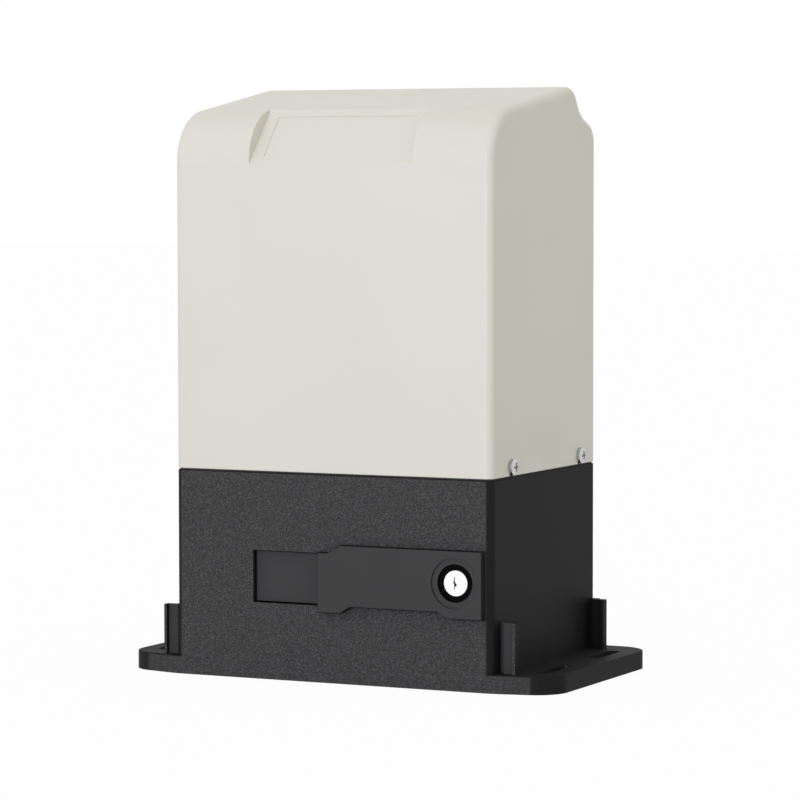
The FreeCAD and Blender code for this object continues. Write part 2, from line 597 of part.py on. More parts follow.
def pinion_key():
    return block(SHAFT_X - KEY_W / 2, SHAFT_X + KEY_W / 2, PINION_Y0 + 1, PINION_Y0 + 26,
                 SHAFT_Z + BRG_BORE - 3.5, SHAFT_Z + BRG_BORE + 2.5)


def drive_pinion():
    wheel = gear(PINION_TEETH, PINION_MODULE, PINION_FACE, 0.1)
    wheel.translate(V(SHAFT_X, PINION_Y0 + PINION_FACE / 2, SHAFT_Z))
    groove = ring_y(SHAFT_X, SHAFT_Z, 17.0, 24.0, PINION_Y0 + PINION_FACE - 3, PINION_Y0 + PINION_FACE + 1)
    key_seat = block(SHAFT_X - KEY_W / 2, SHAFT_X + KEY_W / 2, PINION_Y0 - 1, PINION_Y0 + PINION_FACE + 1,
                     SHAFT_Z, SHAFT_Z + BRG_BORE + 2.5)
    return wheel.cut([rod_y(SHAFT_X, SHAFT_Z, BRG_BORE, PINION_Y0 - 1, PINION_Y0 + 40), key_seat, groove])


def pinion_washer():
    return ring_y(SHAFT_X, SHAFT_Z, 4.2, 15.0, SHAFT_TIP_Y, SHAFT_TIP_Y + 2.5)


def pinion_bolt():
    head = hexagon(0, 0, 7.5, 0, 5.3)
    head.rotate(V(0, 0, 0), RIGHT, -90)
    head.translate(V(SHAFT_X, SHAFT_TIP_Y + 2.5, SHAFT_Z))
    return join(head, rod_y(SHAFT_X, SHAFT_Z, 4.0, SHAFT_TIP_Y - 20, SHAFT_TIP_Y + 3))


def spring_seat():
    return ring_y(SHAFT_X, SHAFT_Z, HUB_BORE, 17.0, SPRING_SEAT_Y, SPRING_SEAT_Y + 1.8)


def push_rod():
    rod = rod_y(SHAFT_X, SHAFT_Z, ROD_R, ROD_TIP_Y, PIN_Y - PIN_R - 0.3)
    return rod.makeChamfer(0.6, [e for e in rod.Edges if e.BoundBox.YMax < ROD_TIP_Y + 0.1])


def clutch_spring():
    # compression spring between the dog and its seat
    wire_r = 1.2
    coil_r = HUB_BORE + 3.2
    start = DOG_BODY_Y0 + DOG_BODY_T + wire_r
    length = SPRING_SEAT_Y - wire_r - start
    helix = Part.makeHelix(length / 4.5, length, coil_r)
    corners = [V(coil_r + wire_r * math.cos(k * math.pi / 3), 0, wire_r * math.sin(k * math.pi / 3))
               for k in range(6)]
    section = Part.makePolygon(corners + [corners[0]])
    coil = Part.Wire(helix.Edges).makePipeShell([section], True, True)
    coil.rotate(V(0, 0, 0), RIGHT, -90)
    coil.translate(V(SHAFT_X, start, SHAFT_Z))
    return coil


# ---- release lever and lock ----------------------------------------------------------
PLATE_Y = FRONT - GAP            # back of the handle plate
PLATE_T = 5.0
CAM_R = 8.0
CAM_OFFSET = CAM_TRAVEL / 2
BARREL_R = 11.3


def release_lever():
    z_low, z_high = 46.6, 78.4
    outline = [(LEVER_X0, 42.3), (8.6, 42.6), (15.5, z_low), (72.0, z_low), (78.8, LEVER_Z0),
               (LEVER_X1, LEVER_Z0), (LEVER_X1, LEVER_Z1), (9.0, LEVER_Z1), (0.3, z_high), (LEVER_X0, z_high)]
    plate = prism_y(outline, PLATE_Y - PLATE_T, PLATE_Y)
    plate = fillet_where(plate, 0.8, lambda e: e.BoundBox.YMax < PLATE_Y - PLATE_T + 0.01)
    plate = plate.cut([rod_y(LOCK_X, LOCK_Z, 15.0, PLATE_Y - PLATE_T - 1, PLATE_Y - PLATE_T + 1.0),
                       rod_y(LOCK_X, LOCK_Z, BARREL_R, PLATE_Y - PLATE_T - 1, PLATE_Y + 1)])
    gap = 0.8
    tail_z0, tail_z1 = WINDOW_Z0 + gap, WINDOW_Z1 - gap
    tail_y = FRONT + 3.5
    tail = block(WINDOW_X0 + 0.6, -0.5, tail_y, tail_y + 2.7, tail_z0, tail_z1)
    step = block(LEVER_X0, -0.5, PLATE_Y - 1, tail_y + 2.7, tail_z0, tail_z1)
    boss = [rod_z(SHAFT_X, LEVER_Y, 6.3, z0, z1) for z0, z1 in ((tail_z0, SHAFT_Z - 7), (SHAFT_Z + 7, tail_z1))]
    cam = rod_z(SHAFT_X - CAM_OFFSET, LEVER_Y - CAM_OFFSET, CAM_R, SHAFT_Z - 7, SHAFT_Z + 7)
    cam = cam.cut(block(SHAFT_X - 20, SHAFT_X + 20, FRONT - 5, tail_y, 0, JOINT_Z))
    lever = join(plate, tail, step, cam, *boss)
    return lever.cut(rod_z(SHAFT_X, LEVER_Y, LUG_PIN_R + RUN, 30, 90))


BARREL_FACE = PLATE_Y - PLATE_T + 3.2
BARREL_END = -56.0
PLUG_R = 5.9


def lock_barrel():
    barrel = rod_y(LOCK_X, LOCK_Z, BARREL_R, BARREL_FACE, BARREL_END)
    return barrel.cut(rod_y(LOCK_X, LOCK_Z, PLUG_R + RUN, BARREL_FACE - 1, BARREL_END + 1))


def lock_plug():
    face_y = PLATE_Y - PLATE_T + 2.0
    plug = join(rod_y(LOCK_X, LOCK_Z, 7.5, face_y, BARREL_FACE - 0.1),
                rod_y(LOCK_X, LOCK_Z, PLUG_R, face_y, BARREL_END + 0.4),
                block(LOCK_X - 3, LOCK_X + 3, BARREL_END, BARREL_END + 2.9, LOCK_Z - 3, LOCK_Z + 3))
    keyway = [(-1.0, -0.5, -3.5, 3.5), (-1.5, -0.3, -0.2, 1.1), (-0.9, 0.1, -0.9, 0.3), (-0.6, 0.6, -1.8, -0.4)]
    slits = [block(LOCK_X + x0, LOCK_X + x1, face_y - 1, face_y + 12, LOCK_Z + z0, LOCK_Z + z1)
             for x0, x1, z0, z1 in keyway]
    return plug.cut(slits)


def lock_cam():
    y0 = BARREL_END + 0.4
    cam = join(rod_y(LOCK_X, LOCK_Z, 4.4, y0, y0 + 2.5),
               block(LOCK_X - 4.4, LOCK_X + 4.4, y0, y0 + 2.5, LOCK_Z, LOCK_Z + 16))
    return cam.cut(block(LOCK_X - 3, LOCK_X + 3, y0 - 1, y0 + 4, LOCK_Z - 3, LOCK_Z + 3))


def cam_screw():
    return rod_y(LOCK_X, LOCK_Z, 4.0, BARREL_END + 2.9, BARREL_END + 5.4)


# ---- electrics -----------------------------------------------------------------------
TRAY_X0, TRAY_X1 = -97.0, -37.0
TRAY_Y, TRAY_T = -34.0, 2.5
BOARD_Z0, BOARD_Z1 = 176.0, 316.0
BOARD_T = 1.6
POST_H = 8.0
BOARD_Y = TRAY_Y - POST_H          # back face of the board
BOARD_FACE = BOARD_Y - BOARD_T
BOARD_HOLES = [(x, z) for x in (TRAY_X0 + 6, TRAY_X1 - 6) for z in (BOARD_Z0 + 5, BOARD_Z1 - 5)]
BUTTON_X, BUTTON_Z = -86.0, 262.0


def board_tray():
    panel = block(TRAY_X0, TRAY_X1, TRAY_Y, TRAY_Y + TRAY_T, BOARD_Z0 - 8, BOARD_Z1 + 3)
    window = block(TRAY_X0 + 14, TRAY_X1 - 14, TRAY_Y - 1, TRAY_Y + TRAY_T + 1, BOARD_Z0 + 24, BOARD_Z1 - 26)
    legs = []
    for x in (TRAY_X0, TRAY_X1 - 6):
        legs.append(block(x, x + 6, TRAY_Y, TRAY_Y + TRAY_T, LID_TOP, BOARD_Z0 - 6))
        legs.append(block(x, x + 2.5, TRAY_Y, TRAY_Y + 9, LID_TOP, BOARD_Z1 + 3))
        legs.append(block(x, x + 14, TRAY_Y, TRAY_Y + 14, LID_TOP, LID_TOP + 3))
    bars = [block(TRAY_X0, TRAY_X1, TRAY_Y, TRAY_Y + 6, z, z + 2.5) for z in (BOARD_Z0 - 8, BOARD_Z1 + 0.5)]
    posts = [rod_y(x, z, 3.5, BOARD_Y, TRAY_Y + 1) for x, z in BOARD_HOLES]
    return join(panel.cut(window), *(legs + bars + posts))


def control_board():
    board = block(TRAY_X0 + 1, TRAY_X1 - 1, BOARD_FACE, BOARD_Y, BOARD_Z0, BOARD_Z1)
    return board.cut([rod_y(x, z, 1.7, BOARD_FACE - 1, BOARD_Y + 1) for x, z in BOARD_HOLES])


def board_screws():
    return [join(rod_y(x, z, 3.2, BOARD_FACE - 2, BOARD_FACE), rod_y(x, z, 1.6, BOARD_FACE - 1, BOARD_Y))
            for x, z in BOARD_HOLES]


def on_board(x0, x1, z0, z1, depth):
    return block(x0, x1, BOARD_FACE - depth, BOARD_FACE, z0, z1)


def terminal_blocks():
    pitch = 5.08
    blocks = []
    for x, z, ways in ((-84.0, 178.0, 7), (-90.0, 292.0, 4), (-66.0, 292.0, 4)):
        body = on_board(x, x + pitch * ways, z, z + 10, 12)
        body = body.cut(block(x - 1, x + pitch * ways + 1, BOARD_FACE - 13, BOARD_FACE - 9, z + 7, z + 11))
        cuts = []
        for k in range(ways):
            mid = x + pitch * (k + 0.5)
            cuts.append(block(mid - 1.7, mid + 1.7, BOARD_FACE - 7, BOARD_FACE - 3, z - 1, z + 5))
            cuts.append(rod_y(mid, z + 3.5, 1.7, BOARD_FACE - 13, BOARD_FACE - 9.5))
        blocks.append(body.cut(cuts))
    return blocks


def relays():
    return [on_board(x, x + 15.5, 196, 216, 15.5) for x in (-92.0, -74.5, -57.0)]


def board_chips():
    chips = [on_board(-76, -60, 246, 256, 2.5), on_board(-90, -82, 226, 236, 2.0),
             on_board(-70, -50, 224, 231, 5.0), on_board(-50, -42, 242, 262, 5.5)]
    chips += [rod_y(x, 236.0, 4.0, BOARD_FACE - 12, BOARD_FACE) for x in (-72.0, -60.0)]
    return chips


def trimmer_pots():
    pots = []
    for k in range(4):
        x = -90.0 + 9 * k
        pot = on_board(x, x + 6.8, 272, 279, 5.0)
        pots.append(join(pot, rod_y(x + 3.4, 275.5, 2.2, BOARD_FACE - 6.5, BOARD_FACE - 4)))
    return pots


FUSE_X, FUSE_Z0, FUSE_L, FUSE_R = -47.5, 272.0, 18.0, 2.6


def fuse_holder():
    base = on_board(FUSE_X - 4.5, FUSE_X + 4.5, FUSE_Z0, FUSE_Z0 + FUSE_L, 3.0)
    clips = [on_board(FUSE_X - 3.5, FUSE_X + 3.5, z, z + 4, 9.5) for z in (FUSE_Z0 + 1, FUSE_Z0 + FUSE_L - 5)]
    return join(base, *clips).cut(rod_z(FUSE_X, BOARD_FACE - 7, FUSE_R, FUSE_Z0 - 1, FUSE_Z0 + FUSE_L + 1))


def fuse():
    return rod_z(FUSE_X, BOARD_FACE - 7, FUSE_R, FUSE_Z0, FUSE_Z0 + FUSE_L)


def receiver_module():
    card = block(-59.0, -57.4, BOARD_FACE - 14, BOARD_FACE - 0.5, 240, 268)
    can = block(-57.4, -54.0, BOARD_FACE - 12, BOARD_FACE - 3, 244, 256)
    return join(card, can)


def learn_button_base():
    return on_board(BUTTON_X - 3, BUTTON_X + 3, BUTTON_Z - 3, BUTTON_Z + 3, 3.4)


def learn_button():
    return rod_y(BUTTON_X, BUTTON_Z, 1.7, BOARD_FACE - 6.2, BOARD_FACE - 3.4 - 0.7)


TRAFO_X, TRAFO_Y = -66.0, -3.0


def transformer_core():
    lam = block(TRAFO_X - 27, TRAFO_X + 27, TRAFO_Y - 11, TRAFO_Y + 11, LID_TOP + 2, LID_TOP + 47)
    wins = [block(TRAFO_X + s - 4.5, TRAFO_X + s + 4.5, TRAFO_Y - 12, TRAFO_Y + 12, LID_TOP + 11, LID_TOP + 38)
            for s in (-13.5, 13.5)]
    feet = block(TRAFO_X - 27, TRAFO_X + 27, TRAFO_Y - 15, TRAFO_Y + 15, LID_TOP, LID_TOP + 2)
    return join(lam.cut(wins), feet)


def transformer_coil():
    outer = block(TRAFO_X - 17.6, TRAFO_X + 17.6, TRAFO_Y - 16, TRAFO_Y + 16, LID_TOP + 11.5, LID_TOP + 37.5)
    outer = fillet_where(outer, 4.0, is_upright)
    core = block(TRAFO_X - 9, TRAFO_X + 9, TRAFO_Y - 11, TRAFO_Y + 11, LID_TOP + 11, LID_TOP + 38)
    return outer.cut(core)


CAP_X, CAP_Y, CAP_R = -72.0, 42.0, 20.0


def run_capacitor():
    can = rod_z(CAP_X, CAP_Y, CAP_R, LID_TOP + 1, LID_TOP + 91)
    can = fillet_where(can, 1.5, lambda e: e.BoundBox.ZMin > LID_TOP + 90)
    tags = [block(CAP_X + s - 0.4, CAP_X + s + 0.4, CAP_Y - 3, CAP_Y + 3, LID_TOP + 90, LID_TOP + 100)
            for s in (-6, 6)]
    return join(can, *tags)


def capacitor_clip():
    band = ring_z(CAP_X, CAP_Y, CAP_R, CAP_R + 1.2, LID_TOP + 20, LID_TOP + 32)
    leg = block(CAP_X - 6, CAP_X + 6, CAP_Y - CAP_R - 1.2, CAP_Y - CAP_R, LID_TOP, LID_TOP + 22)
    foot = block(CAP_X - 6, CAP_X + 6, CAP_Y - CAP_R - 8, CAP_Y - CAP_R, LID_TOP, LID_TOP + 1.2)
    saucer = rod_z(CAP_X, CAP_Y, 7.0, LID_TOP, LID_TOP + 1)
    strap = block(CAP_X - 6, CAP_X + 6, CAP_Y - CAP_R - 1, CAP_Y, LID_TOP, LID_TOP + 1)
    return join(band, leg, foot, saucer, strap)


# ---- limit switch --------------------------------------------------------------------
HUB_Y, HUB_Z = HY - 8.75, JOINT_Z + 11.0
NOSE_X = 14.0                # half the nose, wide enough for the whisker's full swing
SWITCH_Y0 = HY - 23.25
SWITCH_TOP = HUB_Z + 14.0
COIL_R = 3.0


def limit_housing():
    back = IN_Y - GAP
    body = block(SHAFT_X - 20, SHAFT_X + 20, SWITCH_Y0, back, LID_TOP, SWITCH_TOP)
    nose = block(SHAFT_X - NOSE_X, SHAFT_X + NOSE_X, back - 3, HY + 5, HUB_Z - 10, HUB_Z + 10)
    room = block(SHAFT_X - 17.5, SHAFT_X + 17.5, SWITCH_Y0 + 2.5, back - 2, LID_TOP + 8, SWITCH_TOP - 2.5)
    mouth = block(SHAFT_X - NOSE_X + 2, SHAFT_X + NOSE_X - 2, HUB_Y - 2.5, HY + 6, HUB_Z - 5, HUB_Z + 5)
    ears = block(SHAFT_X - 26, SHAFT_X + 26, SWITCH_Y0 + 3, SWITCH_Y0 + 14, LID_TOP, LID_TOP + 3)
    post = rod_z(SHAFT_X, HUB_Y, 4.2, LID_TOP + 6, HUB_Z - 6)
    pin = rod_z(SHAFT_X, HUB_Y, 1.5, LID_TOP + 6, SWITCH_TOP - 1)
    return join(join(body, nose, ears).cut([room, mouth]), post, pin)


def microswitches():
    return [block(SHAFT_X + s * 14 - 3, SHAFT_X + s * 14 + 3, SWITCH_Y0 + 3, HUB_Y + 2, HUB_Z - 6, HUB_Z + 6) for s in (-1, 1)]


def limit_hub():
    hub = join(rod_z(SHAFT_X, HUB_Y, 4.2, HUB_Z - 5, HUB_Z + 5),
               block(SHAFT_X - 7.5, SHAFT_X + 7.5, HUB_Y - 7.5, HUB_Y - 4, HUB_Z - 3, HUB_Z + 3),
               block(SHAFT_X - 2.5, SHAFT_X + 2.5, HUB_Y - 7, HUB_Y, HUB_Z - 3, HUB_Z + 3))
    return hub.cut(rod_z(SHAFT_X, HUB_Y, 1.5 + RUN, HUB_Z - 6, HUB_Z + 6))


def limit_spring():
    # close-wound whisker that the stop plates on the rack push aside
    coil = rod_y(SHAFT_X, HUB_Z, COIL_R, HUB_Y + 4.2, HUB_Y + 40)
    tip = rod_y(SHAFT_X, HUB_Z, 1.0, HUB_Y + 39, HUB_Y + 66)
    ball = Part.makeSphere(2.2, V(SHAFT_X, HUB_Y + 66, HUB_Z))
    return join(coil, tip, ball)


# ---- cover ---------------------------------------------------------------------------
def roof_z(y):
    return ROOF_FRONT_Z + ROOF_SLOPE * (y - FRONT)


def cover_side(bottom):
    # side outline of the cover: upright front, big round, rising roof, ridge, step down, shelf
    return [(FRONT, bottom, 0), (FRONT, ROOF_FRONT_Z, FRONT_ROUND), (RIDGE_Y, roof_z(RIDGE_Y), RIDGE_ROUND),
            (STEP_Y, STEP_Z, STEP_ROUND), (HY, SHELF_Z, BACK_ROUND), (HY, bottom, 0)]


def rounded_wire(points):
    # points are (y, z, round radius); the rounds are true arcs tangent to both neighbours
    edges = []
    start = V(0, points[0][0], points[0][1])
    for i in range(1, len(points) - 1):
        here = V(0, points[i][0], points[i][1])
        to_last = (V(0, points[i - 1][0], points[i - 1][1]) - here).normalize()
        to_next = (V(0, points[i + 1][0], points[i + 1][1]) - here).normalize()
        radius = points[i][2]
        half = to_last.getAngle(to_next) / 2
        reach = radius / math.tan(half)
        bisector = (to_last + to_next).normalize()
        arc_mid = here + bisector * (radius / math.sin(half) - radius)
        enter = here + to_last * reach
        leave = here + to_next * reach
        edges.append(Part.makeLine(start, enter))
        edges.append(Part.Arc(enter, arc_mid, leave).toShape())
        start = leave
    last = V(0, points[-1][0], points[-1][1])
    edges.append(Part.makeLine(start, last))
    edges.append(Part.makeLine(last, V(0, points[0][0], points[0][1])))
    return Part.Wire(edges)


def cover_block(inset, bottom):
    outline = Part.Face(rounded_wire(cover_side(bottom)))
    if inset:
        outline = outline.makeOffset2D(-inset)
    half = HX - inset
    solid = outline.extrude(V(2 * half, 0, 0))
    solid.translate(V(-half, 0, 0))
    edge_r = CORNER_R - inset / 2
    return fillet_where(solid, edge_r, lambda e: on_side(e, half) and e.BoundBox.ZMax > JOINT_Z + 1)


def on_side(edge, half):
    box = edge.BoundBox
    return box.XLength < 0.01 and abs(abs(box.XMin) - half) < 0.01


def pocket_cut(inset):
    # everything in front of the flat bed that bridges the front round
    (y0, z0), (y1, z1) = POCKET_FOOT, POCKET_HEAD
    run = math.hypot(y1 - y0, z1 - z0)
    ny, nz = (z1 - z0) / run * inset, -(y1 - y0) / run * inset
    half = POCKET_W / 2 + inset
    ty, tz = (y1 - y0) / run * 60, (z1 - z0) / run * 60
    points = [V(-half, y0 + ny - ty, z0 + nz - tz), V(-half, y1 + ny + ty, z1 + nz + tz),
              V(-half, y1 - 60, z1 + 60), V(-half, y0 - 80, z0)]
    return prism(points, V(2 * half, 0, 0))


def panel_recess():
    (y0, z0), (y1, z1) = POCKET_FOOT, POCKET_HEAD
    tilt = math.degrees(math.atan2(z1 - z0, y1 - y0))
    recess = block(-PANEL_W / 2, PANEL_W / 2, PANEL_LOW, PANEL_HIGH, -PANEL_DEPTH, 1)
    recess.rotate(V(0, 0, 0), RIGHT, tilt)
    recess.translate(V(0, y0, z0))
    return recess


def cover():
    body = fillet_where(cover_block(0, JOINT_Z), 0.6, lambda e: e.BoundBox.ZMax < JOINT_Z + 0.01)
    body = body.cut(pocket_cut(0)).cut(panel_recess())
    hollow = cover_block(COVER_WALL, JOINT_Z - 2 * COVER_WALL).cut(pocket_cut(COVER_WALL))
    body = body.cut(hollow)
    cuts = []
    for side in (-1, 1):
        for y in SCREW_YS:
            xs = sorted((side * (HX - 6), side * (HX + 2)))
            slot = join(block(xs[0], xs[1], y - 2.9, y + 2.9, JOINT_Z - 1, SCREW_Z),
                        rod_x(y, SCREW_Z, 2.9, xs[0], xs[1]))
            cuts.append(slot)
    notch = NOSE_X + 0.7
    cuts.append(block(SHAFT_X - notch, SHAFT_X + notch, HY - 6, HY + 2, JOINT_Z - 1, HUB_Z + 10.8))
    return body.cut(cuts)


def main():
    os.makedirs("parts", exist_ok=True)
    save("base_housing", base_housing())
    save("gearcase_lid", gearcase_lid())
    save("lid_gasket", lid_gasket())
    save("lid_screws", *lid_screws())
    save("cover_seal", cover_seal())
    save("cover_screws", *cover_screws())
    save("shaft_bearings", *shaft_bearings())
    save("worm_bearings", *worm_bearings())
    save("oil_seal", oil_seal())
    save("worm_seal", worm_seal())
    save("lever_pin", lever_pin())
    save("cable_grommets", *cable_grommets())
    save("motor_flange", motor_flange())
    save("motor_stator", motor_stator())
    save("motor_windings", *motor_windings())
    save("motor_end_shield", motor_end_shield())
    save("motor_bearing", motor_bearing())
    save("motor_bolts", *motor_bolts())
    save("worm_shaft", worm_shaft())
    save("rotor_core", rotor_core())
    save("worm_wheel", worm_wheel())
    save("wheel_hub", wheel_hub())
    save("clutch_dog", clutch_dog())
    save("cross_pin", cross_pin())
    save("output_shaft", output_shaft())
    save("pinion_key", pinion_key())
    save("drive_pinion", drive_pinion())
    save("pinion_washer", pinion_washer())
    save("pinion_bolt", pinion_bolt())
    save("spring_seat", spring_seat())
    save("push_rod", push_rod())
    save("clutch_spring", clutch_spring())
    save("release_lever", release_lever())
    save("lock_barrel", lock_barrel())
    save("lock_plug", lock_plug())
    save("lock_cam", lock_cam())
    save("cam_screw", cam_screw())
    save("board_tray", board_tray())
    save("control_board", control_board())
    save("board_screws", *board_screws())
    save("terminal_blocks", *terminal_blocks())
    save("relays", *relays())
    save("board_chips", *(board_chips() + [learn_button_base()]))
    save("trimmer_pots", *trimmer_pots())
    save("fuse_holder", fuse_holder())
    save("fuse", fuse())
    save("receiver_module", receiver_module())
    save("learn_button", learn_button())
    save("transformer_core", transformer_core())
    save("transformer_coil", transformer_coil())
    save("run_capacitor", run_capacitor())
    save("capacitor_clip", capacitor_clip())
    save("limit_housing", limit_housing())
    save("microswitches", *microswitches())
    save("limit_hub", limit_hub())
    save("limit_spring", limit_spring())
    save("cover", cover())


main()
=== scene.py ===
import json
import math

import bmesh
import bpy
from mathutils import Matrix, Vector


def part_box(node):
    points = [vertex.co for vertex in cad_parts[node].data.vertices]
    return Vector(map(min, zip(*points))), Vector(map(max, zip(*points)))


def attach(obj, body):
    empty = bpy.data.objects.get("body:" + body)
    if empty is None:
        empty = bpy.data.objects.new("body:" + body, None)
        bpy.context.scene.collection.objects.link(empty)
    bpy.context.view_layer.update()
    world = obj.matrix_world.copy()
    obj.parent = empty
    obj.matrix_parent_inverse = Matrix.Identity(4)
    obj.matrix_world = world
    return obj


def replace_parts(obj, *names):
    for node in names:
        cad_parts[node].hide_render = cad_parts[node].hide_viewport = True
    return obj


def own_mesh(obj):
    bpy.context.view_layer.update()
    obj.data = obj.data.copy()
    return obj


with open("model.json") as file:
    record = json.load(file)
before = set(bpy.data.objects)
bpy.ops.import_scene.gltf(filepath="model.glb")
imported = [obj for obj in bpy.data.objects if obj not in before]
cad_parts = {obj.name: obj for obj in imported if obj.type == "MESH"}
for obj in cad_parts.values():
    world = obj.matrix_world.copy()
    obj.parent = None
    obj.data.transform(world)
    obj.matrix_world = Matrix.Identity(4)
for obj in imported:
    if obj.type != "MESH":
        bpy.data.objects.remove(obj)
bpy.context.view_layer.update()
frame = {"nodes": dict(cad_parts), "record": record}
nodes = frame["nodes"]

MM = 0.001
WAVE_STEP = math.pi / 10     # metres from crest to crest of a wave texture at scale 1


# ---------------------------------------------------------------- helpers

def colour(hex_code):
    """Turns an sRGB hex value into the linear colour that the shaders take."""
    def linear(value):
        return value / 12.92 if value <= 0.04045 else ((value + 0.055) / 1.055) ** 2.4
    parts = [int(hex_code[i:i + 2], 16) / 255 for i in (1, 3, 5)]
    return (*[linear(value) for value in parts], 1.0)


def add_node(tree, kind, settings=None, links=None):
    """Adds a shader node, sets its properties and inputs, and feeds inputs from other nodes' sockets."""
    node = tree.nodes.new(kind)
    for name, value in (settings or {}).items():
        if isinstance(name, str) and hasattr(node, name):
            setattr(node, name, value)
        else:
            node.inputs[name].default_value = value
    for name, socket in (links or {}).items():
        tree.links.new(socket, node.inputs[name])
    return node


def scale_of(size_mm):
    """The texture scale that gives a pattern its real size in millimetres."""
    return 1000 / size_mm


def start_finish(name, hex_code, metallic, roughness, **more):
    """Starts a finish: its shader with the values that are the same all over, and the object coordinates."""
    material = bpy.data.materials.new(name)
    material.use_nodes = True
    tree = material.node_tree
    tree.nodes.clear()
    values = {"Base Color": colour(hex_code), "Metallic": metallic, "Roughness": roughness}
    values.update({key.replace("_", " "): value for key, value in more.items()})
    shader = add_node(tree, "ShaderNodeBsdfPrincipled", values)
    add_node(tree, "ShaderNodeOutputMaterial", links={"Surface": shader.outputs["BSDF"]})
    place = add_node(tree, "ShaderNodeTexCoord").outputs["Object"]
    return material, tree, shader, place


def mottle(tree, shader, place, dark, light, size_mm):
    """Lets the colour drift between two tones in soft patches of the given size."""
    patches = add_node(tree, "ShaderNodeTexNoise", {"Scale": scale_of(size_mm), "Detail": 3.0},
                       {"Vector": place})
    tones = add_node(tree, "ShaderNodeValToRGB", links={"Fac": patches.outputs["Fac"]})
    for stop, position, tone in zip(tones.color_ramp.elements, (0.35, 0.65), (dark, light)):
        stop.position = position
        stop.color = colour(tone)
    tree.links.new(tones.outputs["Color"], shader.inputs["Base Color"])


def uneven_gloss(tree, shader, place, low, high, size_mm):
    """Lets the roughness drift between two values in patches of the given size."""
    patches = add_node(tree, "ShaderNodeTexNoise", {"Scale": scale_of(size_mm), "Detail": 4.0},
                       {"Vector": place})
    gloss = add_node(tree, "ShaderNodeMapRange",
                     {"From Min": 0.3, "From Max": 0.7, "To Min": low, "To Max": high},
                     {"Value": patches.outputs["Fac"]})
    tree.links.new(gloss.outputs["Result"], shader.inputs["Roughness"])


def grain(tree, shader, place, size_mm, depth_mm, detail=2.0):
    """Raises a fine irregular grain, with its real height, over the whole surface."""
    bumps = add_node(tree, "ShaderNodeTexNoise", {"Scale": scale_of(size_mm), "Detail": detail},
                     {"Vector": place})
    relief = add_node(tree, "ShaderNodeBump", {"Strength": 1.0, "Distance": depth_mm * MM},
                      {"Height": bumps.outputs["Fac"]})
    tree.links.new(relief.outputs["Normal"], shader.inputs["Normal"])


def tool_lines(tree, shader, place, direction, pitch_mm, depth_mm, kind="BANDS"):
    """Draws the fine parallel lines of turning, rolling or winding, square to the given direction."""
    lines = add_node(tree, "ShaderNodeTexWave",
                     {"wave_type": kind, "Scale": scale_of(pitch_mm) * WAVE_STEP, "Distortion": 0.6,
                      "Detail": 2.0, "Detail Scale": 3.0, "Detail Roughness": 0.6},
                     {"Vector": place})
    if kind == "BANDS":
        lines.bands_direction = direction
    else:
        lines.rings_direction = direction
    relief = add_node(tree, "ShaderNodeBump", {"Strength": 1.0, "Distance": depth_mm * MM},
                      {"Height": lines.outputs["Fac"]})
    tree.links.new(relief.outputs["Normal"], shader.inputs["Normal"])


# ---------------------------------------------------------------- finishes

# the base's powder coat: pebbles on its front and the foot's top, and a finer skin everywhere
PEBBLE_MM, PEBBLE_DEPTH_MM = 0.7, 0.45
SKIN_MM, SKIN_DEPTH_MM = 0.6, 0.008


def moulded_ivory_abs():
    """ABS, injection moulded in a spark-eroded tool: an even satin with a very fine grain."""
    material, tree, shader, place = start_finish("ivory_abs_moulded", "#dfddcf", 0.0, 0.4, IOR=1.53,
                                                 Specular_IOR_Level=0.3)
    mottle(tree, shader, place, "#dedcce", "#e0ded1", 90)
    uneven_gloss(tree, shader, place, 0.37, 0.43, 25)
    # the real grain is about 0.1 mm, drawn at 0.5 mm so that it shows
    grain(tree, shader, place, 0.5, 0.006)
    return material


